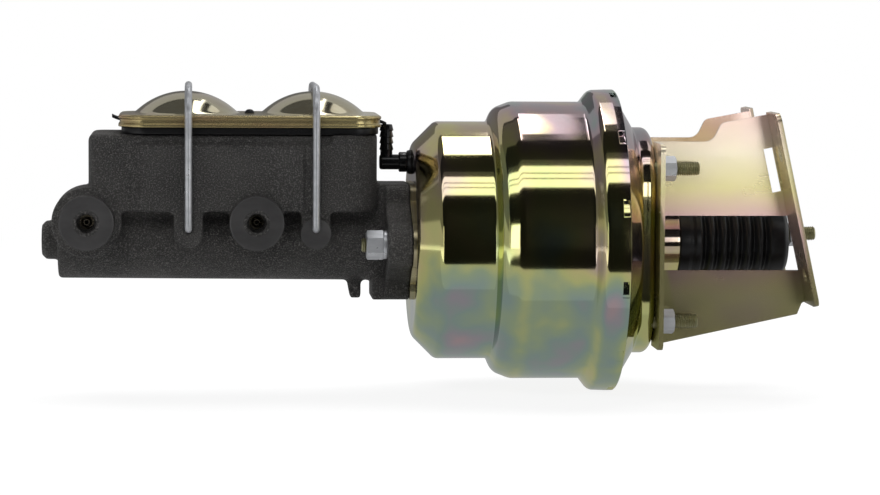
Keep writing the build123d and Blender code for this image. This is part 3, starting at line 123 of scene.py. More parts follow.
# %% [markdown]
# ## Node helpers
#
# Finishes are node trees. One helper adds a node and fills its sockets, with a number where the value is the
# same everywhere and with another node's output where it changes over the surface. Another starts an effect:
# a node group with named inputs and outputs that several finishes share.

# %% Helpers for node trees


def node(tree, kind, inputs=None, **settings):
    """Add a shader node; each input takes a plain value or the output of another node."""
    made = tree.nodes.new("ShaderNode" + kind)
    for name, value in settings.items():
        setattr(made, name, value)
    for name, value in (inputs or {}).items():
        if isinstance(value, bpy.types.NodeSocket):
            tree.links.new(value, made.inputs[name])
        else:
            made.inputs[name].default_value = value
    return made


def maths(tree, operation, *values):
    """One step of arithmetic on values or sockets."""
    return node(tree, "Math", dict(enumerate(values)), operation=operation).outputs["Value"]


def remap(tree, value, low, high, to_low=0.0, to_high=1.0):
    """A value, its range from low to high laid over another one."""
    ends = {"Value": value, "From Min": low, "From Max": high, "To Min": to_low, "To Max": to_high}
    return node(tree, "MapRange", ends).outputs["Result"]


def mix_colours(tree, share, first, second):
    """Two colours, mixed by a share."""
    return node(tree, "Mix", {"Factor": share, 6: first, 7: second}, data_type="RGBA").outputs[2]


def object_place(tree):
    """The place on the piece, which goes along when the piece moves."""
    return node(tree, "TexCoord").outputs["Object"]


def object_axes(tree):
    """That place's X, Y and Z."""
    return node(tree, "SeparateXYZ", {"Vector": object_place(tree)}).outputs


def ramp(tree, value, stops, interpolation="LINEAR"):
    """A colour ramp over a value, its stops given as (place, colour)."""
    made = node(tree, "ValToRGB", {"Fac": value})
    made.color_ramp.interpolation = interpolation
    elements = made.color_ramp.elements
    elements.remove(elements[1])
    elements[0].position = stops[0][0]
    elements[0].color = (*stops[0][1], 1.0)
    for place, colour in stops[1:]:
        elements.new(place).color = (*colour, 1.0)
    return made.outputs["Color"]


def effect(name, inputs, outputs):
    """Start a node group: its tree, the outputs of its input node, and the inputs of its output node."""
    tree = bpy.data.node_groups.new(name, "ShaderNodeTree")
    for label, value in inputs.items():
        tree.interface.new_socket(label, in_out="INPUT", socket_type="NodeSocketFloat").default_value = value
    for label, kind in outputs.items():
        tree.interface.new_socket(label, in_out="OUTPUT", socket_type="NodeSocket" + kind)
    return tree, tree.nodes.new("NodeGroupInput").outputs, tree.nodes.new("NodeGroupOutput").inputs


def use(tree, group, **values):
    """Place an effect in a finish with its own values, and give its outputs."""
    made = node(tree, "Group", node_tree=group)
    for label, value in values.items():
        socket = made.inputs[label.replace("_", " ")]
        if isinstance(value, bpy.types.NodeSocket):
            tree.links.new(value, socket)
        else:
            socket.default_value = value
    return made.outputs


# %% [markdown]
# ## Shared effects
#
# Three effects cover almost every finish here. Handling marks are soft, cloudy patches where a part was
# touched, which show as changes in gloss. The casting grain is the sand's print on iron, with its small facets;
# its bright specks are painted glints, light caught by those facets put into the colour. The plating film is the
# rainbow of yellow chromate: its colour depends on how thick the clear film is, so a smooth, wandering thickness
# goes through a ramp that repeats the colours in their natural order.

# %% Effects: marks, grain with painted glints, and film
marks, marks_in, marks_out = effect("handling_marks", {"Size": 60.0}, {"Mask": "Float", "Fine": "Float"})
place = object_place(marks)
stretched = node(marks, "Mapping", {"Vector": place, "Scale": (0.35, 1.0, 1.0)}).outputs["Vector"]
cloud = node(marks, "TexNoise", {"Vector": stretched, "Scale": marks_in["Size"], "Detail": 5.0, "Roughness": 0.6})
fine = node(marks, "TexNoise", {"Vector": place, "Scale": 700.0, "Detail": 2.0})
marks.links.new(remap(marks, cloud.outputs["Fac"], 0.35, 0.68), marks_out["Mask"])
marks.links.new(fine.outputs["Fac"], marks_out["Fine"])

grain_and_glints, grain_in, grain_out = effect(
    "sand_grain_and_glints", {"Grain": 900.0, "Pits": 260.0}, {"Height": "Float", "PaintedGlint": "Float", "Patch": "Float"},
)
place = object_place(grain_and_glints)
sand = node(grain_and_glints, "TexNoise", {"Vector": place, "Scale": grain_in["Grain"], "Detail": 4.0, "Roughness": 0.65})
lumps = node(grain_and_glints, "TexNoise", {"Vector": place, "Scale": grain_in["Pits"], "Detail": 2.0})
both = maths(grain_and_glints, "ADD", sand.outputs["Fac"], lumps.outputs["Fac"])
# Bright specks where the grain is high: painted glints, standing in for light caught by the grain's facets.
painted_glint_mask = remap(grain_and_glints, sand.outputs["Fac"], 0.50, 0.66)
patch = node(grain_and_glints, "TexNoise", {"Vector": place, "Scale": 22.0, "Detail": 3.0}).outputs["Fac"]
for value, label in ((both, "Height"), (painted_glint_mask, "PaintedGlint"), (patch, "Patch")):
    grain_and_glints.links.new(value, grain_out[label])

film, film_in, film_out = effect(
    "chromate_film", {"Thickness": 0.0, "Wander": 1.0, "Size": 14.0}, {"Color": "Color"},
)
place = object_place(film)
drift = node(film, "TexNoise", {"Vector": place, "Scale": film_in["Size"], "Detail": 2.5, "Roughness": 0.45})
centred = maths(film, "SUBTRACT", drift.outputs["Fac"], 0.5)
thickness = maths(film, "MULTIPLY_ADD", centred, film_in["Wander"], film_in["Thickness"])
order = maths(film, "FRACT", thickness)
film_colours = [
    (0.00, (0.72, 0.66, 0.30)),
    (0.16, (0.66, 0.54, 0.38)),
    (0.30, (0.56, 0.42, 0.44)),
    (0.44, (0.44, 0.42, 0.45)),
    (0.58, (0.36, 0.47, 0.42)),
    (0.74, (0.44, 0.54, 0.34)),
    (0.88, (0.64, 0.66, 0.28)),
    (1.00, (0.72, 0.66, 0.30)),
]
film.links.new(ramp(film, order, film_colours), film_out["Color"])
print("effects:", [group.name for group in bpy.data.node_groups])

# %% [markdown]
# ## Finishes
#
# Every slot of the record gets one finish. Most are plain: two close colours, a range of gloss and a fine
# bump, so one function makes them from a row of numbers. The plated shells, the lid and the casting have a
# look of their own and follow below.

# %% Plain finishes


def start_finish(name, roughness, metallic, **sockets):
    """A new material, its tree and its Principled shader with the plain sockets set."""
    material = bpy.data.materials.new(name)
    material.use_nodes = True
    shader = material.node_tree.nodes["Principled BSDF"]
    shader.inputs["Roughness"].default_value = roughness
    shader.inputs["Metallic"].default_value = metallic
    for label, value in sockets.items():
        shader.inputs[label.replace("_", " ")].default_value = value
    return material, material.node_tree, shader


def wear(tree, shader, mask, matt, gloss):
    """Let the roughness go from matt to gloss over a mask."""
    tree.links.new(remap(tree, mask, 0.0, 1.0, matt, gloss), shader.inputs["Roughness"])


def roughen(tree, shader, height, distance, strength=1.0):
    """Feed a bump of the given depth in millimetres into the shader."""
    bump = node(tree, "Bump", {"Height": height, "Distance": distance * MM, "Strength": strength})
    tree.links.new(bump.outputs["Normal"], shader.inputs["Normal"])


def plain_finish(name, dark, light, matt, gloss, metallic, size, depth, **sockets):
    """Two colours and two roughnesses mixed by the handling marks, with a fine bump."""
    material, tree, shader = start_finish(name, matt, metallic, **sockets)
    mask = use(tree, marks, Size=size)
    tree.links.new(ramp(tree, mask["Mask"], [(0.0, dark), (1.0, light)]), shader.inputs["Base Color"])
    wear(tree, shader, mask["Mask"], matt, gloss)
    roughen(tree, shader, mask["Fine"], depth)
    return material


plain_rows = {
    "bright_zinc": ((0.40, 0.41, 0.43), (0.58, 0.59, 0.61), 0.38, 0.26, 0.75, 90.0, 0.02),
    "stud_steel": ((0.26, 0.25, 0.15), (0.44, 0.42, 0.26), 0.40, 0.28, 0.9, 120.0, 0.02),
    "spring_steel": ((0.20, 0.20, 0.21), (0.36, 0.36, 0.37), 0.42, 0.28, 1.0, 120.0, 0.02),
    "plate_steel": ((0.42, 0.38, 0.26), (0.60, 0.54, 0.36), 0.42, 0.26, 1.0, 60.0, 0.02),
    "piston_aluminium": ((0.62, 0.62, 0.63), (0.80, 0.80, 0.81), 0.34, 0.22, 1.0, 90.0, 0.01),
    "seat_brass": ((0.24, 0.21, 0.15), (0.40, 0.36, 0.27), 0.30, 0.16, 1.0, 200.0, 0.01),
    "black_rubber": ((0.003, 0.003, 0.0033), (0.006, 0.006, 0.0065), 0.38, 0.25, 0.0, 40.0, 0.05),
    "black_plastic": ((0.003, 0.003, 0.003), (0.006, 0.006, 0.007), 0.22, 0.12, 0.0, 50.0, 0.01),
    "white_plastic": ((0.62, 0.60, 0.54), (0.72, 0.70, 0.64), 0.50, 0.38, 0.0, 40.0, 0.02),
    "felt": ((0.24, 0.22, 0.19), (0.36, 0.33, 0.28), 0.98, 0.90, 0.0, 300.0, 0.25),
}
finishes = {slot: plain_finish(slot, *row) for slot, row in plain_rows.items()}
for slot, level in (("black_rubber", 0.28), ("black_plastic", 0.4)):
    finishes[slot].node_tree.nodes["Principled BSDF"].inputs["Specular IOR Level"].default_value = level
print("plain finishes:", len(finishes))

# %% [markdown]
# ## Yellow zinc on the shells
#
# A chromate film is thinner over the bends, where the bath drains, and thicker lower down, where it hangs
# longest. So one ramp over X holds the rings beside each crease, one over Z holds what changes with the height,
# and the shared effect adds the clouds. A ramp holds no value above 1, so the film's thickness is halved in it.

# %% Yellow zinc


def film_finish(name, size, wander, heights, matt, gloss, metallic=1.0, rings=()):
    """A plated metal whose film is as thick as the heights along Z say, and the rings along X."""
    material, tree, shader = start_finish(name, matt, metallic)
    split = object_axes(tree)
    lean = 0.0
    for axis, places, mode in (("Z", heights, "LINEAR"), ("X", rings, "B_SPLINE")):
        if not places:
            continue
        first, last = places[0][0], places[-1][0]
        along = remap(tree, split[axis], first * MM, last * MM)
        stops = [((at - first) / (last - first), (value / 2,) * 3) for at, value in places]
        lean = maths(tree, "MULTIPLY_ADD", ramp(tree, along, stops, mode), 2.0, lean)
    colour = use(tree, film, Thickness=lean, Wander=wander, Size=size)["Color"]
    tree.links.new(colour, shader.inputs["Base Color"])
    wear(tree, shader, use(tree, marks, Size=30.0)["Mask"], matt, gloss)
    return material


shell_rings = [
    (-254, 0.30), (-244, 0.05), (-238, 0.20), (-232, 0.02), (-212, 0.02), (-205, 0.12), (-200, 0.0),
    (-192, 0.10), (-186, 0.26), (-180, 0.06), (-150, 0.06), (-143, 0.16), (-138, 0.42), (-134, 0.02),
    (-126, 0.10), (-120, 0.34), (-115, 0.30),
]
shell_heights = [(-100, 0.66), (-62, 0.50), (-34, 0.56), (-12, 0.80), (50, 0.90), (75, 1.08), (100, 1.25)]
finishes["yellow_zinc"] = film_finish("yellow_zinc", 28.0, 1.0, shell_heights, 0.10, 0.06, rings=shell_rings)

# %% [markdown]
# ## Yellow zinc on the brackets
#
# The brackets hung in the bath upright, so their film's colours lie in bands over the height. Painted light,
# also in bands over the height, covers most of the film with a little of the rainbow left: painted shade in dark
# brown on the lower part and a painted highlight in pink and cream on the upper part. The bent flange ends face
# another way and get a painted shade in dark khaki, which starts where the place along the axis, leaned with the
# height, passes a limit.

# %% Bracket zinc
bracket_heights = [(-75, 0.02), (-30, 0.06), (-16, 0.25), (16, 0.28), (34, 0.06), (80, 0.14)]
finishes["bracket_zinc"] = film_finish("bracket_zinc", 26.0, 0.7, bracket_heights, 0.28, 0.22, 0.78)
tree = finishes["bracket_zinc"].node_tree
shader = tree.nodes["Principled BSDF"]
split = object_axes(tree)
# Painted light in bands over the height: painted shade in dark brown on the lower part, and a painted highlight in pink
# and cream on the upper part.
painted_light_bands = [
    (0.0, (0.07, 0.058, 0.030)), (0.25, (0.12, 0.11, 0.060)), (0.36, (0.11, 0.06, 0.050)),
    (0.57, (0.96, 0.62, 0.62)), (0.70, (0.98, 0.88, 0.46)), (0.84, (1.0, 0.90, 0.70)), (1.0, (0.98, 0.72, 0.66)),
]
painted_light_share, flange_lean, painted_flange_shade = 0.78, 0.22, (0.24, 0.22, 0.10, 1.0)
painted_light = ramp(tree, remap(tree, split["Z"], -75 * MM, 85 * MM), painted_light_bands)
rainbow = shader.inputs["Base Color"].links[0].from_socket
lit_web = mix_colours(tree, painted_light_share, rainbow, painted_light)
# A mask along the leaned axis gives the flange ends a painted shade in dark khaki, as they face away from the light.
leaned = remap(tree, maths(tree, "MULTIPLY_ADD", split["Z"], flange_lean, split["X"]), -98 * MM, 22 * MM)
white, black = (1.0, 1.0, 1.0), (0.0, 0.0, 0.0)
flange_shade_mask = ramp(tree, leaned, [(0.0, white), (0.05, white), (0.07, black), (0.78, black), (0.82, white)])
tree.links.new(mix_colours(tree, flange_shade_mask, lit_web, painted_flange_shade), shader.inputs["Base Color"])
print("plated finishes: shells and brackets")

# %% [markdown]
# ## Lid and casting
#
# The lid's plating is thinner: its domes are pale and glossy, its beaded skirt is a duller gold, and a short
# blend over the height joins the two. The casting is dark grey iron with a coating that lets the sand grain
# through: a rough base with bright specks painted in as glints, and a bump.

# %% Lid zinc and cast iron
material, tree, shader = start_finish("lid_zinc", 0.12, 1.0)
skirt_top, dome_foot = 82.6, 84.6
height = object_axes(tree)["Z"]
over_skirt = remap(tree, height, skirt_top * MM, dome_foot * MM)
mask = use(tree, marks, Size=26.0)
dome = ramp(tree, mask["Mask"], [(0.0, (0.58, 0.50, 0.34)), (0.5, (0.66, 0.62, 0.46)), (1.0, (0.60, 0.52, 0.42))])
gold = ramp(tree, mask["Mask"], [(0.0, (0.44, 0.38, 0.18)), (0.5, (0.38, 0.30, 0.15)), (1.0, (0.36, 0.21, 0.13))])
tree.links.new(mix_colours(tree, over_skirt, gold, dome), shader.inputs["Base Color"])
for label, low, high in (("Roughness", 0.22, 0.11), ("Metallic", 0.8, 1.0)):
    tree.links.new(remap(tree, over_skirt, 0.0, 1.0, low, high), shader.inputs[label])
finishes["lid_zinc"] = material

material, tree, shader = start_finish("cast_iron", 0.5, 0.0, Specular_IOR_Level=0.45)
sand = use(tree, grain_and_glints, Grain=1100.0, Pits=300.0)
body = ramp(tree, sand["Patch"], [(0.35, (0.010, 0.0095, 0.0090)), (0.65, (0.026, 0.0245, 0.0230))])
# The bright specks are painted glints, mixed into the base colour.
painted_glints = mix_colours(tree, sand["PaintedGlint"], body, (0.11, 0.105, 0.10, 1.0))
tree.links.new(painted_glints, shader.inputs["Base Color"])
wear(tree, shader, sand["Patch"], 0.58, 0.40)
roughen(tree, shader, sand["Height"], 1.4)
finishes["cast_iron"] = material
machined = plain_finish("machined_iron", (0.030, 0.029, 0.029), (0.052, 0.050, 0.050), 0.42, 0.32, 0.3, 70.0, 0.03)
print("finishes:", len(finishes) + 1)

# %% [markdown]
# ## Surfaces from arrays
#
# Every new piece is a grid of points worked out as whole arrays. A grid turns into quads by its index table,
# and joins its last row or column to the first where the surface closes. Poles are rows that shrink to one
# point, and merging makes one vertex of them.

# %% Grids, profiles and lathes


def grid(points, rows=False, columns=False):
    """Quads over an (n, m, 3) array of points; rows or columns says which way the surface closes on itself."""
    n, m = points.shape[:2]
    index = np.arange(n * m).reshape(n, m)
    if rows:
        index = np.vstack([index, index[:1]])
    if columns:
        index = np.hstack([index, index[:, :1]])
    faces = np.stack([index[:-1, :-1], index[:-1, 1:], index[1:, 1:], index[1:, :-1]], axis=-1)
    return points.reshape(-1, 3), faces.reshape(-1, 4)


def rounded(corners, radii, steps=8, closed=False):
    """A line whose corners are arcs: each arc touches both runs and is turned about the centre between them."""
    corners = np.array(corners, float)
    line = []
    for index, radius in enumerate(np.broadcast_to(radii, len(corners))):
        corner = corners[index]
        if radius == 0 or (not closed and index in (0, len(corners) - 1)):
            line.append(corner[None])
            continue
        back = corners[index - 1] - corner
        on = corners[(index + 1) % len(corners)] - corner
        back, on = back / np.linalg.norm(back), on / np.linalg.norm(on)
        half = np.arccos(np.clip(back @ on, -1, 1)) / 2
        centre = corner + (back + on) / np.linalg.norm(back + on) * radius / np.sin(half)
        start = corner + back * radius / np.tan(half) - centre
        end = corner + on * radius / np.tan(half) - centre
        turn = pi - 2 * half
        share = np.linspace(0, 1, steps + 1)[:, None]
        line.append(centre + (np.sin((1 - share) * turn) * start + np.sin(share * turn) * end) / np.sin(turn))
    return np.vstack(line)


def dense(line, spacing):
    """The same line with points added, so that none is further than the spacing from the next."""
    at = np.concatenate([[0], np.cumsum(np.linalg.norm(np.diff(line, axis=0), axis=1))])
    stations = np.unique(np.concatenate([at, np.arange(0, at[-1], spacing)]).round(4))
    return np.stack([np.interp(stations, at, line[:, axis]) for axis in range(line.shape[1])], axis=1)


def crossing(along):
    """Two unit vectors square to a direction and to each other."""
    along = np.array(along, float) / np.linalg.norm(along)
    side = np.cross(along, [0, 0, 1] if abs(along[2]) < 0.9 else [0, 1, 0])
    side /= np.linalg.norm(side)
    return along, side, np.cross(along, side)


def lathe(profile, origin=(0, 0, 0), along=(1, 0, 0), count=160, turn=0.0, closed=True):
    """Turn a profile about the axis: each of its points (place along the axis, radius) runs round a circle. It may
    also be two arrays, with the radii over the angles, one row for each place, which gives hexagons and threads."""
    places, radii = profile if isinstance(profile, tuple) else np.array(profile, float).T
    along, side, up = crossing(along)
    angle = turn + np.linspace(0, 2 * pi, count, endpoint=False)
    circle = np.cos(angle)[:, None] * side + np.sin(angle)[:, None] * up
    radii = np.broadcast_to(np.reshape(radii, (len(places), -1)), (len(places), count))
    points = np.array(origin) + np.reshape(places, (-1, 1, 1)) * along + radii[:, :, None] * circle
    return grid(points, rows=closed, columns=True)


print("a lathe of 3 points has", len(lathe([(0, 0), (0, 1), (1, 0)])[1]), "faces")

# %% [markdown]
# ## From arrays to a piece
#
# A dressed piece stands for one CAD node: it rides on that node's body, takes its slot and hides it. Points
# that fall together are merged, so poles and seams close. A closed skin then has its faces turned outwards.
# A sheet keeps the way its faces were made and gets its wall from a Solidify modifier.

# %% Make a piece


def join(*parts):
    """Several (points, faces) pairs as one."""
    start = np.cumsum([0] + [len(points) for points, _ in parts[:-1]])
    return np.vstack([points for points, _ in parts]), np.vstack([f + s for (_, f), s in zip(parts, start)])


def weld(mesh, distance, outwards=False):
    """Merge the points of a mesh that fall together, and turn its faces outwards if asked."""
    bm = bmesh.new()
    bm.from_mesh(mesh)
    bmesh.ops.remove_doubles(bm, verts=bm.verts, dist=distance)
    if outwards:
        bmesh.ops.recalc_face_normals(bm, faces=bm.faces)
    bm.to_mesh(mesh)
    bm.free()


def piece(name, stands_for, part, sheet=0.0, crease=32.0, material=None, hide=True):
    """A mesh object from points in millimetres and quads, finished and tied to the CAD node it stands for."""
    points, faces = part
    mesh = bpy.data.meshes.new(name)
    mesh.from_pydata((points * MM).tolist(), [], faces.tolist())
    weld(mesh, 2e-6, outwards=not sheet)
    mesh.shade_smooth()
    mesh.set_sharp_from_angle(angle=radians(crease))
    made = put(name, mesh)
    mesh.materials.append(material or finishes[slot_of[stands_for]])
    if sheet:
        wall = made.modifiers.new("wall", "SOLIDIFY")
        wall.thickness = sheet * MM
        wall.offset = -1.0
        wall.use_even_offset = True
    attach(made, body_of[stands_for])
    if hide:
        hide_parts(stands_for)
    print(name, len(mesh.polygons), "faces")
    return made


# %% [markdown]
# ## Front shell
#
# The front shell is one deep pressing with two steps and a rolled ring at its rear. Its outer face is a line
# with rounded bends turned about the axis. Twelve small windows are lanced through the ring's skirt, and the
# metal is bent in behind the rear shell to hold the two together. The windows are left out of the grid, whose
# columns stand exactly at their edges, and each bent tongue is a small sheet of its own.

# %% Front shell
shell_sheet = 1.5
ring_radius = 100.0
front_x, cone_rear_x, shoulder_front_x, shoulder_rear_x = -253.4, -238.2, -203.4, -188.3
ring_front_x, rim_x, rear_flange_x = -137.3, -119.7, -121.8
window_front_x, window_rear_x = -124.8, -120.8
front_shell_line = [
    (front_x, 24.0), (front_x, 63.3), (cone_rear_x, 78.5), (shoulder_front_x, 78.5),
    (shoulder_front_x + 4.0, 87.5), (shoulder_rear_x, 91.8), (ring_front_x - 4.2, 91.8),
    (ring_front_x + 1.8, ring_radius - 0.4), (window_front_x, ring_radius),
]
skin = dense(rounded(front_shell_line, [0, 8, 6, 2.5, 9, 12, 3.0, 5.0, 0], steps=14), 2.5)
skin = np.vstack([skin, [(window_rear_x, ring_radius), (rim_x - 0.5, ring_radius), (rim_x, ring_radius - 0.5)]])
crimp_count, crimp_first_angle, crimp_half_angle = 12, 14.0, 3.0
degrees_round = np.arange(0.0, 360.0, 1.0)
leaning = np.radians(degrees_round)
circle = np.stack([0 * leaning, -np.sin(leaning), np.cos(leaning)], axis=1)
shell_points = skin[:, None, :1] * [1, 0, 0] + skin[:, None, 1:] * circle
points, faces = grid(shell_points, columns=True)
column = faces[:, 0] % len(degrees_round)
from_crimp = (degrees_round[column] + 0.5 - crimp_first_angle + 180 / crimp_count) % (360 / crimp_count)
in_window = np.abs(from_crimp - 180 / crimp_count) < crimp_half_angle
window_row = faces[:, 0] // len(degrees_round) == len(skin) - 4
piece("front_shell_skin", "front_shell", (points, faces[~(in_window & window_row)]), sheet=shell_sheet)

# %% Bent tongues of the crimp


def tongue(index):
    """One tongue: a sheet hinged at one side of its window, its free side bent in."""
    turn = np.radians(crimp_first_angle + 360 / crimp_count * index)
    out = np.array([0, -np.sin(turn), np.cos(turn)])
    beside = np.array([0, np.cos(turn), np.sin(turn)])
    share = np.linspace(0, 1, 9)
    across = tongue_start + tongue_length * share
    height = ring_radius - tongue_sink - tongue_drop * share**1.5
    profile = np.stack([across, height], axis=1)
    back = np.stack([across, height - tongue_sheet], axis=1)[::-1]
    loop = np.vstack([profile, back])
    face = loop[:, :1] * beside + loop[:, 1:] * out
    stations = np.array([window_front_x, window_front_x, window_rear_x, window_rear_x])
    size = np.array([0.0, 1.0, 1.0, 0.0])
    middle = face.mean(axis=0)
    rows = middle + (face - middle) * size[:, None, None]
    rows[..., 0] = stations[:, None]
    return grid(rows, columns=True)


tongue_start, tongue_length, tongue_drop, tongue_sink, tongue_sheet = -5.65, 9.4, 2.0, 0.15, 1.2
tongues = join(*[tongue(index) for index in range(crimp_count)])
piece("crimp_tongues", "front_shell", tongues, hide=False)

# %% [markdown]
# ## Rear shell
#
# The rear shell is a shallow dish with a raised plateau and a short hub. The plateau is round but for two flat
# sides, so it is no lathe. Its edge is found on each ray from the axis: the radius where the circle or the
# flat is first reached, blended where they meet. Drawing that edge in or out gives the rounded rim, the wall
# and the fillet at its foot.

# %% Rear shell
rear_x, dish_x, plateau_radius, plateau_flat = -96.8, -108.3, 75.0, 52.0
hub_end_x, cuff_front_x, hub_radius, cuff_seat_radius = -68.1, -76.6, 23.2, 22.2
dish_slope = (dish_x - rear_flange_x - shell_sheet) / (ring_radius - 4 - plateau_radius - 1.5)
rays = np.linspace(0, 2 * pi, 480, endpoint=False)


def plateau_edge(inset, corner=14.0):
    """Radius of the plateau's edge on each ray, drawn in by the inset, halving the range until it is found."""
    low, high = np.zeros_like(rays), np.full_like(rays, 90.0)
    for _ in range(40):
        middle = (low + high) / 2
        circle = middle - plateau_radius
        flat = middle * np.abs(np.sin(rays)) - plateau_flat
        blend = np.clip(corner - np.abs(circle - flat), 0, None) ** 2 / (4 * corner)
        outside = np.maximum(circle, flat) + blend + inset > 0
        low, high = np.where(outside, low, middle), np.where(outside, middle, high)
    return middle


def past(value, softness):
    """How far a value is above zero, with a soft start: half the value plus its smoothed size."""
    return (value + np.sqrt(value**2 + softness**2)) / 2


def dish(radius):
    """The dish's place along the axis: flat, then falling away from the plateau, then flat at the rim."""
    return dish_x - dish_slope * (past(radius - 76.5, 1.5) - past(radius - 96, 1.0))


hub_line = rounded(
    [(hub_end_x, cuff_seat_radius), (cuff_front_x, cuff_seat_radius), (cuff_front_x, hub_radius), (rear_x, hub_radius),
     (rear_x, 30.0)], [0, 0.3, 0.4, 3.0, 0],
)
edge_round, foot_round = 4.5, 3.0
inner_edge, outer_edge = plateau_edge(edge_round), plateau_edge(-foot_round)
rows = [(np.full_like(rays, r), np.full_like(rays, x)) for x, r in dense(hub_line, 1.5)]
rows += [(30 + (inner_edge - 30) * s, np.full_like(rays, rear_x)) for s in np.linspace(0, 1, 12)[1:]]
rows += [
    (plateau_edge(edge_round * (1 - np.sin(a))), np.full_like(rays, rear_x - edge_round * (1 - np.cos(a))))
    for a in np.linspace(0, pi / 2, 10)[1:]
]
foot_x = dish(outer_edge)
rows += [(plateau_edge(0), rear_x - edge_round + (foot_x + foot_round - rear_x + edge_round) * s) for s in (0.4, 1)]
rows += [
    (plateau_edge(-foot_round * (1 - np.cos(a))), foot_x + foot_round * (1 - np.sin(a)))
    for a in np.linspace(0, pi / 2, 8)[1:]
]
rows += [(outer_edge + (98.2 - outer_edge) * s, dish(outer_edge + (98.2 - outer_edge) * s))
         for s in np.linspace(0, 1, 24)[1:]]
radius = np.array([row[0] for row in rows])
place = np.array([row[1] for row in rows])
shell_points = np.stack([place, -radius * np.sin(rays), radius * np.cos(rays)], axis=-1)
points, faces = grid(shell_points, columns=True)
piece("rear_shell_skin", "rear_shell", (points, faces[:, ::-1]), sheet=shell_sheet)

# %% [markdown]
# ## Reservoir lid
#
# The lid is a shallow tray with a beaded skirt and a dome over each reservoir. Its plan is a rectangle with
# large rounded corners. Each row of the grid is that plan drawn in a little further, from the skirt's foot
# over the rim to the line along the middle, and the domes lift the rows that pass under them.

# %% Reservoir lid
lid_low, lid_high = (np.array(corner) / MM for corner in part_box("reservoir_lid"))
lid_middle = (lid_low + lid_high) / 2
lid_half = (lid_high - lid_low) / 2
lid_foot, lid_top, lid_corner = 75.5, 83.5, 18.0
dome_radius, dome_height, dome_places = 34.0, 14.6, (-401.4, -318.6)


def plan(half_x, half_y, corner, inset=0.0, arc=24, run_x=90, run_y=20):
    """A rounded rectangle drawn in by the inset, always with the same number of points, as (n, 2)."""
    half_x, half_y, corner = half_x - inset, half_y - inset, corner - inset
    middles = [(half_x - corner, half_y - corner), (corner - half_x, half_y - corner),
               (corner - half_x, corner - half_y), (half_x - corner, corner - half_y)]
    line = []
    for index, middle in enumerate(middles):
        angle = np.linspace(0, pi / 2, arc + 1) + index * pi / 2
        bend = np.array(middle) + corner * np.stack([np.cos(angle), np.sin(angle)], axis=1)
        after = np.array(middles[(index + 1) % 4]) + corner * np.array([np.cos(angle[-1]), np.sin(angle[-1])])
        share = np.linspace(0, 1, (run_y if index % 2 else run_x) + 1)[1:-1, None]
        line += [bend, bend[-1] * (1 - share) + after * share]
    return np.vstack(line)


def domes(x, y):
    """Height of the two domes: a ball's cap over each place, blended softly into the flat tray."""
    ball = (dome_radius**2 + dome_height**2) / (2 * dome_height)
    height = np.zeros_like(x)
    for middle in dome_places:
        away_from = np.hypot(x - middle, y)
        cap = np.sqrt(np.clip(ball**2 - away_from**2, 0, None)) - ball + dome_height
        height = np.maximum(height, past(cap, 1.6) - past(-6.0, 1.6))
    return height


skirt = rounded(
    [(1.9, lid_foot), (0.0, lid_foot), (0.0, lid_foot + 1.9), (0.9, lid_foot + 2.5), (0.9, lid_foot + 5.0),
     (0.0, lid_foot + 5.6), (0.0, lid_foot + 6.9), (1.6, lid_top), (5.0, lid_top)],
    [0, 0.6, 0.7, 0.6, 0.6, 0.6, 0.9, 1.6, 0], steps=5,
)
rim_rows = [np.column_stack([plan(lid_half[0], lid_half[1], lid_corner, inset), np.full(316, z)]) for inset, z in skirt]
edge = rim_rows[-1][:, :2]
spine = np.stack([np.clip(edge[:, 0], lid_half[1] - lid_half[0], lid_half[0] - lid_half[1]), 0 * edge[:, 1]], axis=1)
for share in np.linspace(0, 1, 64)[1:]:
    flat = edge * (1 - share) + spine * share
    lift = domes(flat[:, 0] + lid_middle[0], flat[:, 1])
    rim_rows.append(np.column_stack([flat, lid_top + lift]))
lid_points = np.array(rim_rows) + [lid_middle[0], 0, 0]
piece("reservoir_lid_skin", "reservoir_lid", grid(lid_points, columns=True), sheet=1.0, crease=60)

# %% [markdown]
# ## Bails
#
# Two bails of round spring wire hold the lid down. A tube is a circle carried along a line, and because each
# bail lies in one plane, that plane's normal and the line's own direction give the circle its place.

# %% Bails


def tube(path, radius, flat_way, sides=24):
    """A closed tube: at each point of the path a circle across it, and at both ends a flat cap."""
    way = np.gradient(path, axis=0)
    way /= np.linalg.norm(way, axis=1)[:, None]
    flat_way = np.broadcast_to(np.array(flat_way, float), way.shape)
    side = np.cross(way, flat_way)
    angle = np.linspace(0, 2 * pi, sides, endpoint=False)[None, :, None]
    ring = np.cos(angle) * flat_way[:, None] + np.sin(angle) * side[:, None]
    circles = path[:, None] + radius * ring
    caps = [np.tile(end, (1, sides, 1)) for end in (path[0], path[-1])]
    return grid(np.concatenate([caps[0], circles, caps[1]]), columns=True)


wire, bail_half, bail_top, bail_foot, pivot_z = 2.4, 43.5, 101.2, 6.5, 10.0
front_pivot_x, rear_pivot_x = -400.0, -317.6
for name, pivot_x in (("front_bail", front_pivot_x), ("rear_bail", rear_pivot_x)):
    foot_y = bail_half - bail_foot + 1
    corners = [(-foot_y, pivot_z), (-bail_half, pivot_z), (-bail_half, bail_top), (bail_half, bail_top),
               (bail_half, pivot_z), (foot_y, pivot_z)]
    line = dense(rounded(corners, [0, 2.6, 17.0, 17.0, 2.6, 0], steps=20), 2.0)
    path = np.column_stack([np.full(len(line), pivot_x), line])
    piece(name + "_wire", name, tube(path, wire, (1, 0, 0)))

# %% [markdown]
# ## The casting
#
# The master cylinder's body is sand-cast iron: soft edges, slightly uneven faces and a grainy skin. A copy of
# the CAD solid is merged, rebuilt as an even net of small quads, and smoothed, which rounds its edges as a
# mould does. The grain itself is in the finish.

# %% Casting from the solid


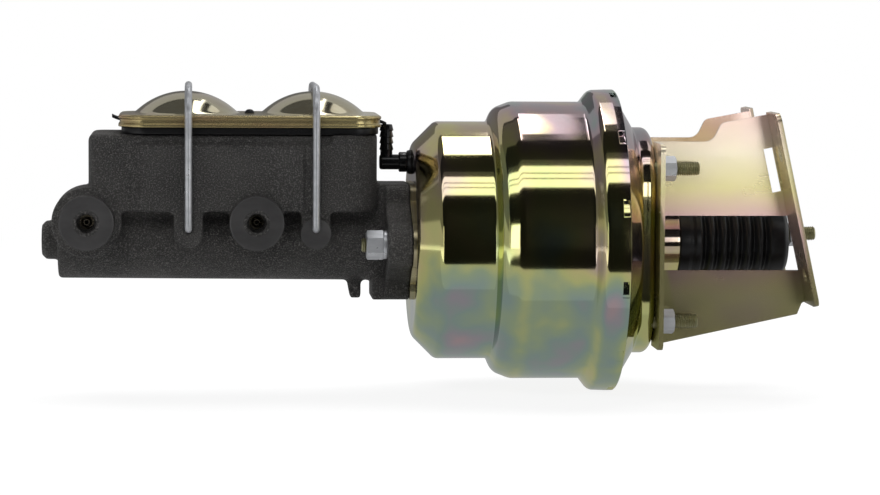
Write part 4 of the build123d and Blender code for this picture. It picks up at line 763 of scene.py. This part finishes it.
def cast(name, stands_for, voxel, passes):
    """A copy of a CAD node with an even net of quads, its edges worn round by smoothing."""
    mesh = nodes[stands_for].data.copy()
    weld(mesh, 1e-6)
    rough_copy = put(name + "_net", mesh)
    net = rough_copy.modifiers.new("net", "REMESH")
    net.mode = "VOXEL"
    net.voxel_size = voxel * MM
    soft = rough_copy.modifiers.new("soft", "SMOOTH")
    soft.factor = 0.5
    soft.iterations = passes
    bpy.context.view_layer.update()
    depsgraph = bpy.context.evaluated_depsgraph_get()
    finished = bpy.data.meshes.new_from_object(rough_copy.evaluated_get(depsgraph), depsgraph=depsgraph)
    bpy.data.objects.remove(rough_copy)
    finished.name = name
    finished.materials.clear()
    finished.materials.append(finishes[slot_of[stands_for]])
    finished.shade_smooth()
    made = put(name, finished)
    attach(made, body_of[stands_for])
    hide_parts(stands_for)
    print(name, len(finished.polygons), "faces")


cast("cylinder_casting", "cylinder_body", 1.35, 3)

# %% [markdown]
# ## Machined faces on the casting
#
# Where pipes and bails join, the casting is cut flat and bright. Each such face is a thin turned ring that
# stands a hair proud of the cast skin, with a countersunk mouth at the two outlets.

# %% Outlet faces and bail discs
port_face, port_radius, port_z = 45.0, 17.8, 14.0
outlets = []
for port_x in (-465.4, -355.9):
    line = rounded(
        [(4.0, port_radius - 0.6), (0.0, port_radius - 0.1), (-0.25, port_radius - 0.9), (-0.25, 8.8), (2.2, 6.2),
         (11.0, 6.2), (11.0, 5.05), (17.0, 5.05), (17.0, 6.6), (4.0, 6.6)],
        [0, 0.2, 0.3, 0.3, 0.3, 0.1, 0.1, 0, 0, 0], steps=3,
    )
    outlets.append(lathe(line, origin=(port_x, -port_face, port_z), along=(0, 1, 0), count=120))
piece("outlet_faces", "cylinder_body", join(*outlets), material=machined, hide=False)

discs = []
for side in (-1, 1):
    line = rounded([(0.0, 0.0), (0.0, 9.6), (0.5, 10.1), (4.0, 10.1), (4.0, 0.0)], [0, 0.2, 0.2, 0, 0], steps=3)
    discs.append(lathe(line, origin=(rear_pivot_x, side * 40.75, 7.0), along=(0, -side, 0), count=96))
piece("bail_discs", "cylinder_body", join(*discs), material=machined, hide=False)

# %% [markdown]
# ## Nuts
#
# A hexagon nut is a hexagonal prism whose corners are turned down by a cone. At each height its radius on a ray
# is the smaller of the hexagon's and the cone's, and that one rule draws the curved edges of a real nut.

# %% Nuts


def nut(flats, height, hole, origin, along, turn=0.0, both_ends=False):
    """A hexagon nut from its seat at the origin, its radius the smaller of the hexagon's and the chamfer cone's."""
    count = 96
    angle = np.linspace(0, 2 * pi, count, endpoint=False)
    hexagon = flats / 2 / np.cos((angle + pi / 6) % (pi / 3) - pi / 6)
    drop = np.array([0, 0.15, 0.3, 0.5, 0.7, 0.9, 1.1, 1.4])
    cone = flats / 2 - 0.25 + 1.73 * drop
    top = [(height - d, np.minimum(hexagon, c)) for d, c in zip(drop, cone)]
    foot = [(d, np.minimum(hexagon, c)) for d, c in zip(drop, cone)][::-1] if both_ends else [
        (0.25, hexagon), (0.0, hexagon - 0.25)]
    mouth = [(0.0, np.full(count, hole + 0.5)), (0.5, np.full(count, hole)),
             (height - 0.6, np.full(count, hole)), (height, np.full(count, hole + 0.6))]
    rows = top + foot + mouth
    places = np.array([row[0] for row in rows])
    radii = np.array([row[1] for row in rows])
    return lathe((places, radii), origin, along, count, turn)


stud_y, bracket_stud_z = 42.85, 50.0
bracket_seat_x, bracket_root_x, cylinder_seat_x, cylinder_root_x = -93.8, -101.0, -274.4, -248.9
bracket_places = [(y, z) for y in (-stud_y, stud_y) for z in (-bracket_stud_z, bracket_stud_z)]
bracket_nut_turns = (0.12, 0.02, 0.3, 0.45)
bracket_nuts = [nut(14.3, 10.2, 4.7, (bracket_seat_x, y, z), (1, 0, 0), turn, True)
                for (y, z), turn in zip(bracket_places, bracket_nut_turns)]
piece("bracket_hexagons", "bracket_nuts", join(*bracket_nuts), crease=28)
cylinder_nuts = [nut(16.5, 11.0, 4.95, (cylinder_seat_x, y, 0), (-1, 0, 0), turn)
                 for y, turn in ((-stud_y, 0.06), (stud_y, 0.3))]
piece("cylinder_hexagons", "cylinder_nuts", join(*cylinder_nuts), crease=28)
washer = rounded([(0, 5.3), (0, 9.15), (2.6, 9.15), (2.6, 5.3)], 0.35, steps=4, closed=True)
washers = [lathe(washer, (cylinder_seat_x, y, 0), (1, 0, 0), 96) for y in (-stud_y, stud_y)]
piece("cylinder_washer_rings", "cylinder_washers", join(*washers))

# %% [markdown]
# ## Threads
#
# A thread is a ridge that climbs one pitch with each turn. On a grid of heights and angles the radius depends
# only on the height less the turn's share of the pitch: a triangle wave between root and crest. The ends are
# cut by a cone.

# %% Studs


def threaded(start, end, radius, pitch, origin, along, bare=0.0, depth=0.6, tip=1.2, count=48):
    """A stud from start to end along its axis, bare up to the given place and threaded from there on."""
    places = np.concatenate([[start, start], np.arange(start + 0.01, end, pitch / 8), [end, end]])
    angle = np.linspace(0, 2 * pi, count, endpoint=False)
    wave = np.abs(2 * ((places[:, None] / pitch - angle / (2 * pi)) % 1) - 1)
    cut = np.clip((places[:, None] - bare) / 0.5, 0, 1)
    cone = radius - np.clip(places[:, None] - (end - tip), 0, None)
    radii = np.minimum(radius - pitch * depth * wave * cut, cone)
    radii[[0, -1]] = 0.0
    return lathe((places, radii), origin, along, count, closed=False)


def stud_collar(radius, thickness, origin, along):
    """A round collar with softened edges."""
    line = rounded([(0, 0), (0, radius), (thickness, radius), (thickness, 0)], [0, 0.4, 0.4, 0], steps=3)
    return lathe(line, origin, along, 64)


studs = [threaded(0, 32.8, 4.7, 1.5, (bracket_root_x, y, z), (1, 0, 0), bare=8.0) for y, z in bracket_places]
studs += [stud_collar(5.6, 2.4, (bracket_root_x, y, z), (1, 0, 0)) for y, z in bracket_places]
piece("bracket_stud_threads", "bracket_studs", join(*studs), crease=50)
studs = [threaded(0, 39.5, 4.95, 1.5, (cylinder_root_x, y, 0), (-1, 0, 0), bare=20.0) for y in (-stud_y, stud_y)]
studs += [stud_collar(8.5, 3.0, (cylinder_root_x, y, 0), (-1, 0, 0)) for y in (-stud_y, stud_y)]
piece("cylinder_stud_threads", "cylinder_studs", join(*studs), crease=50)

# %% [markdown]
# ## Input rod
#
# The pushrod leans a little, so its whole outline is turned about its own axis. It has a ball for the
# plunger's socket, a collar for its spring, and a thread behind its jam nut.

# %% Input rod and its nut
ball_x, rod_rise, rod_end_x = -125.0, 3.9, 17.6
rod_lean = atan2(rod_rise, -ball_x)
rod_way = (cos(rod_lean), 0, sin(rod_lean))
rod_length = (rod_end_x - ball_x) / cos(rod_lean)
nut_at = (-0.1 - ball_x) / cos(rod_lean)
ball = np.linspace(pi, 0.68, 16)
line = np.vstack([
    np.stack([5.5 * np.cos(ball), 5.5 * np.sin(ball)], axis=1),
    rounded([(5.0, 3.3), (8.0, 3.3), (10.0, 4.5), (38.5, 4.5), (38.5, 10.5), (40.5, 10.5), (40.5, 4.5),
             (nut_at + 8, 4.5), (nut_at + 8, 0)], [0, 1, 1, 0.4, 0.4, 0.4, 0.4, 0, 0], steps=4),
])
shank = lathe(line, (ball_x, 0, 0), rod_way, 64, closed=False)
nut_place = np.array([ball_x, 0, 0]) + nut_at * np.array(rod_way)
screw = threaded(5.0, rod_length - nut_at, 4.75, 1.25, nut_place, rod_way, bare=5.0, tip=1.0)
piece("input_rod_turned", "input_rod", join(shank, screw), crease=40)
piece("rod_jam_nut", "rod_nut", nut(14.3, 6.6, 4.6, nut_place, rod_way, 0.1, True), crease=28)

# %% [markdown]
# ## Boot
#
# The rubber boot keeps dust off the pushrod. A cosine raised to a power gives folds with round crests and
# tighter grooves. The skin is closed with an inner wall.

# %% Boot
crest, groove, wall, folds = 24.0, 20.6, 1.4, 6
fold_start_x, fold_end_x, boot_end_x = -63.1, -14.7, -3.2
across = np.linspace(0, folds, folds * 20 + 1)
wave = (0.5 + 0.5 * np.cos(2 * pi * across)) ** 0.7
fold_x = fold_start_x + (fold_end_x - fold_start_x) * across / folds
folded = np.stack([fold_x, groove + (crest - groove) * wave], axis=1)
cuff = rounded([(cuff_front_x + 0.1, 22.3), (cuff_front_x + 0.1, crest), (-70.0, crest), (-67.5, crest - 0.8),
                (-65.5, crest), (-64.0, crest)], [0, 0.8, 1.0, 1.5, 1.0, 0], steps=5)
end = rounded([(fold_end_x + 1, crest), (boot_end_x - 3.0, crest - 0.8), (boot_end_x, crest - 4.5),
               (boot_end_x, 5.4)], [0, 3.0, 2.5, 0], steps=8)
end_inside = rounded([(boot_end_x - 2.4, 5.4), (boot_end_x - 2.4, crest - 5.8), (boot_end_x - 4.4, crest - 2.4),
                      (fold_end_x + 1, crest - wall)], [0, 2.0, 2.0, 0], steps=5)
boot_line = np.vstack([cuff, folded, end, end_inside, folded[::-1] - [0, wall], [(hub_end_x + 0.5, 22.3)]])
boot = piece("boot_bellows", "boot", lathe(boot_line, count=128), crease=70)
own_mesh(boot)

# %% [markdown]
# ## Check valve, grommet and gasket
#
# The check valve is glossy moulded plastic: a collar and a barrel along the axis, and a barbed nozzle standing
# on the barrel. The lid's gasket is a rubber sheet with a pull tab at each end.

# %% Check valve and grommet
valve_z, nozzle_x, nozzle_top = 51.6, -269.8, 76.5
barrel = rounded(
    [(-4.6, 0), (-4.6, 5.0), (8.2, 5.0), (8.2, 6.6), (13.4, 6.6), (13.4, 5.0), (21.9, 5.0), (21.9, 2.2), (5.0, 2.2),
     (5.0, 0)], [0, 1.6, 0.4, 0.8, 0.8, 0.2, 0.5, 0.3, 0, 0], steps=6,
)
barb_count, barb_foot = 4, 8.0
pitch = (nozzle_top - valve_z - barb_foot) / barb_count
barbs = [(0.0, 0.0), (0.0, 4.0), (barb_foot, 4.0)]
for index in range(barb_count):
    barbs += [(barb_foot + index * pitch, 4.7), (barb_foot + (index + 1) * pitch, 3.7)]
barbs += [(nozzle_top - valve_z, 2.3), (2.5, 2.3), (2.5, 0.0)]
nozzle = rounded(barbs, [0, 0, 0.2] + [0.4] * 2 * barb_count + [0.2, 0, 0], steps=4)
valve = join(lathe(barrel, (nozzle_x, 0, valve_z), (1, 0, 0), 96),
             lathe(nozzle, (nozzle_x, 0, valve_z), (0, 0, 1), 96))
piece("check_valve_moulding", "check_valve", valve)
collar = rounded([(-3.0, 5.05), (-3.0, 7.4), (0.0, 8.4), (0.0, 6.85), (1.5, 6.85), (1.5, 8.4), (4.5, 6.9),
                  (4.5, 5.05)], [0.5, 0.8, 0.5, 0.2, 0.2, 0.5, 0.6, 0.3], steps=4, closed=True)
piece("valve_grommet_ring", "valve_grommet", lathe(collar, (front_x, 0, valve_z), (1, 0, 0), 96))

# %% Lid gasket


def slab(outline, low, high, soft):
    """A closed slab: the outline drawn in at its lower and upper edges by a quarter round."""
    angle = np.linspace(0, pi / 2, 4)
    insets = np.concatenate([soft * (1 - np.sin(angle)), soft * (1 - np.cos(angle))])
    heights = np.concatenate([low + soft * (1 - np.cos(angle)), high - soft * (1 - np.sin(angle))])
    rows = [np.column_stack([outline(inset), np.full(len(outline(0)), z)]) for inset, z in zip(insets, heights)]
    middle = rows[0].mean(axis=0) * [1, 1, 0]
    foot = np.tile(middle + [0, 0, low], (len(rows[0]), 1))
    lid = np.tile(middle + [0, 0, high], (len(rows[0]), 1))
    return grid(np.array([foot] + rows + [lid]), columns=True)


def gasket_plan(inset):
    return plan(lid_half[0] - 2, lid_half[1] - 2, lid_corner - 2, inset) + [lid_middle[0], 0]


def tab(way):
    """A pull tab: a strip that comes out under the lid's bead and bends a little, up in front and down behind."""
    share = np.linspace(0, 1, 12)
    end_x = lid_middle[0] + way * (lid_half[0] - 5)
    x = end_x + way * 9.5 * share
    z = 79.2 - way * 2.4 * share**2
    across = plan(4.5, 1.1, 1.0, arc=4, run_x=2, run_y=2)
    size = np.concatenate([[0], np.ones(12), [0]])
    x, z = np.concatenate([x[:1], x, x[-1:]]), np.concatenate([z[:1], z, z[-1:]])
    rows = np.zeros((14, len(across), 3))
    rows[..., 0] = x[:, None]
    rows[..., 1] = across[:, 0] * size[:, None]
    rows[..., 2] = z[:, None] + across[:, 1] * size[:, None]
    return grid(rows, columns=True)


vent = rounded([(78, 0), (78, 3.4), (86.1, 3.4), (86.1, 0)], [0, 0, 3.0, 0], steps=8)
vent_nub = lathe(vent, ((dome_places[0] + dome_places[1]) / 2, 0, 0), (0, 0, 1), 48)
piece("lid_gasket_rubber", "lid_gasket", join(slab(gasket_plan, 71.0, 75.6, 0.7), tab(-1), tab(1), vent_nub))

# %% [markdown]
# ## Springs
#
# A coil spring is a tube along a helix. The way out from the axis is square to the wire everywhere, so it serves
# as the tube's plane. Four springs lie between pieces that move towards each other.

# %% Coil springs


def coil(front, rear, radius, wire_radius, turns):
    """A helix between two planes."""
    turn = np.linspace(0, 2 * pi * turns, int(turns * 48) + 1)
    out = np.stack([0 * turn, np.cos(turn), np.sin(turn)], axis=1)
    path = out * radius
    path[:, 0] = np.linspace(front + wire_radius, rear - wire_radius, len(turn))
    return tube(path, wire_radius, out, 12)


springs = [
    ("return_spring", (-251.9, -170.3, 30.0, 1.9, 5), "piston_stroke", -251.9, 0.632),
    ("primary_spring", (-352.0, -310.2, 9.0, 1.2, 5), "piston_stroke", -393.8, 0.641),
    ("secondary_spring", (-474.0, -408.0, 9.0, 1.2, 7), "piston_stroke", -474.0, 0.773),
    ("rod_spring", (-105.5, -87.1, 9.5, 0.9, 4), "plunger_travel", -105.5, 0.90),
]
for name, sizes, joint, still_x, kept in springs:
    made = piece(name + "_coil", name, coil(*sizes))
    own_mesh(made)

# %% [markdown]
# ## The pieces that keep their CAD shape
#
# Brackets, plates, pistons, seals and the like keep the meshes they were packed with. Each gets the finish of
# its slot in the slots it already has.

# %% Finishes for the CAD nodes
for name, cad in nodes.items():
    if not len(cad.data.materials):
        cad.data.materials.append(None)
    for index in range(len(cad.data.materials)):
        cad.data.materials[index] = finishes[slot_of[name]]
print("CAD nodes with a finish:", len(nodes))

# %% [markdown]
# ## Studio
#
# Bright plating shows nothing but its surroundings, so the studio is part of the look: a pale floor, a white
# background, two soft lamps, and round the object a set of bright and dark cards. Only reflections see the
# cards: they are out of the camera's sight and throw no shadow. Near the object the camera sees the lit floor,
# with the shadow on it. Further off a white glow takes over, so that no horizon shows.

# %% Floor and background


def stage_sheet(name, corners, material):
    """A flat four-cornered sheet, declared as part of the stage."""
    mesh = bpy.data.meshes.new(name)
    mesh.from_pydata((np.array(corners, float) * MM).tolist(), [], [(0, 1, 2, 3)])
    mesh.materials.append(material)
    made = put(name, mesh)
    made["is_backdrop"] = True
    return made


floor_z = cad_low[2] / MM - 0.2
material, tree, shader = start_finish("floor", 1.0, 0.0, Specular_IOR_Level=0.0, Base_Color=(0.86, 0.86, 0.86, 1.0))
path_kind = node(tree, "LightPath").outputs["Is Camera Ray"]
white = node(tree, "Emission", {"Color": (1, 1, 1, 1), "Strength": 1.0}).outputs["Emission"]
under_object = (-0.234, 0.0, floor_z * MM)
offset = {0: object_place(tree), 1: under_object}
distance = node(tree, "VectorMath", offset, operation="DISTANCE").outputs["Value"]
glow = remap(tree, distance, 0.45, 1.3, 0.88, 1.0)
part = maths(tree, "MULTIPLY", path_kind, glow)
mixed = node(tree, "MixShader", {"Fac": part, 1: shader.outputs["BSDF"], 2: white}).outputs["Shader"]
tree.links.new(mixed, tree.nodes["Material Output"].inputs["Surface"])
stage_sheet("floor", [(-4000, -3000, floor_z), (4000, -3000, floor_z), (4000, 4000, floor_z), (-4000, 4000, floor_z)],
            material)

world = bpy.data.worlds.new("studio")
bpy.context.scene.world = world
world.use_nodes = True
tree = world.node_tree
background = tree.nodes["Background"]
background.inputs["Color"].default_value = (0.75, 0.76, 0.78, 1.0)
background.inputs["Strength"].default_value = 0.5
seen = node(tree, "LightPath").outputs
glossy = maths(tree, "MAXIMUM", seen["Is Camera Ray"], seen["Is Glossy Ray"])
clear = maths(tree, "MAXIMUM", glossy, seen["Is Transmission Ray"])
plain_white = node(tree, "Background", {"Color": (1, 1, 1, 1), "Strength": 1.0}).outputs["Background"]
mixed = node(tree, "MixShader", {"Fac": clear, 1: background.outputs["Background"], 2: plain_white}).outputs["Shader"]
tree.links.new(mixed, tree.nodes["World Output"].inputs["Surface"])
print("floor at", round(floor_z, 1), "mm")

# %% Cards for the reflections


def card(name, corners, brightness):
    """A sheet of even brightness that only reflections see."""
    material = bpy.data.materials.new(name)
    material.use_nodes = True
    tree = material.node_tree
    colour = (brightness, brightness, brightness, 1.0)
    even = node(tree, "Emission", {"Color": colour, "Strength": 1.0}).outputs["Emission"]
    tree.links.new(even, tree.nodes["Material Output"].inputs["Surface"])
    made = stage_sheet(name, corners, material)
    for ray in ("camera", "diffuse", "shadow", "transmission"):
        setattr(made, "visible_" + ray, False)


def band(name, low_angle, high_angle, left_x, right_x, brightness, distance=2000.0):
    """A card between two angles about the axis, counted from the camera's side of the horizon upwards."""
    low, high = ((-distance * cos(radians(a)), distance * sin(radians(a))) for a in (low_angle, high_angle))
    card(name, [(left_x, *low), (right_x, *low), (right_x, *high), (left_x, *high)], brightness)


left_x, right_x, far_x = -2050.0, 2150.0, -2300.0
card_z = floor_z + 1
card("low_card", [(-1365, -2000, card_z), (right_x, -2000, card_z), (600, -338, card_z), (-420, -338, card_z)], 0.008)
floor_rows = (("front", -338, -150, 0.50), ("under", -150, 250, 0.42), ("rear", 250, 2000, 0.40))
for name, near_y, far_y, brightness in floor_rows:
    corners = [(-1300, near_y, card_z), (1300, near_y, card_z), (1300, far_y, card_z), (-1300, far_y, card_z)]
    card("floor_" + name + "_card", corners, brightness)

bands = [  # name, lower and upper angle, left and right end, brightness, and the distance where it is another
    ("wall_low", -3.0, 24.0, left_x, right_x, 0.008),
    ("wall_high", 24.0, 47.1, left_x, right_x, 0.008),
    ("strip", 46.5, 67.0, left_x, right_x, 1.7, 2040.0),
    ("slat_low", 54.4, 55.4, left_x, right_x, 0.05),
    ("slat_high", 59.2, 60.2, left_x, right_x, 0.05),
    ("upper_low", 66.3, 72.0, left_x, right_x, 0.08),
    ("upper_high", 72.0, 93.5, left_x, right_x, 0.015),
    ("overhead_left", 93.5, 121.6, left_x, -180, 0.10),
    ("overhead", 93.5, 121.6, -180, -5, 5.0),
    ("overhead_step", 93.5, 100.5, -5, 75, 0.03),
    ("overhead_bright", 100.5, 131.0, -5, 45, 4.0),
    ("overhead_fading", 100.5, 131.0, 45, 90, 1.2),
    ("overhead_right", 93.5, 124.5, 90, 300, 0.03),
    ("overhead_far", 93.5, 124.5, 300, right_x, 0.9),
    ("edge", 121.6, 124.5, left_x, -5, 0.05),
    ("rear_high", 124.5, 152.0, left_x, right_x, 0.42, 2040.0),
    ("rear_low", 152.0, 183.0, -250, right_x, 0.42),
    ("rear_dark", 152.0, 183.0, left_x, -250, 0.16),
]
for name, *sizes in bands:
    band(name + "_card", *sizes)

for name, (start_x, start_y), (end_x, end_y), low_z, high_z, brightness in (
    ("left_light", (-1480, -1700), (-1320, -1700), -420, 560, 2.5),
    ("left_low", (far_x, -1950), (far_x, 1950), floor_z, 400, 0.42),
    ("left_high", (far_x, -1950), (far_x, 1950), 400, 3000, 0.16),
    ("right_light", (215, -1900), (1400, -1900), -70, 1100, 2.6),
):
    card(name + "_card", [(start_x, start_y, low_z), (end_x, end_y, low_z), (end_x, end_y, high_z),
                          (start_x, start_y, high_z)], brightness)

# %% Lamps


def softbox(name, middle, width, height, power):
    """A rectangular soft light at a place in millimetres, facing the object's middle."""
    data = bpy.data.lights.new(name, "AREA")
    data.shape = "RECTANGLE"
    data.size, data.size_y = width * MM, height * MM
    data.energy = power
    lamp = put(name, data)
    lamp.location = Vector(middle) * MM
    lamp.rotation_euler = (Vector((-250, 0, 0)) * MM - lamp.location).to_track_quat("-Z", "Y").to_euler()
    lamp.visible_glossy = False


softbox("overhead", (-250, 549, 1740), 2200, 910, 60)
softbox("front_left", (-900, -1500, 1100), 900, 600, 13)
print("lamps:", [lamp.name for lamp in bpy.data.lights])

# %% [markdown]
# ## Size
#
# The dressed model should stay inside the CAD model's box; its size is printed at the end, in millimetres.

# %% Print the dressed size
low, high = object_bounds()
print("dressed size in mm:", [round((b - a) / MM, 1) for a, b in zip(low, high)])
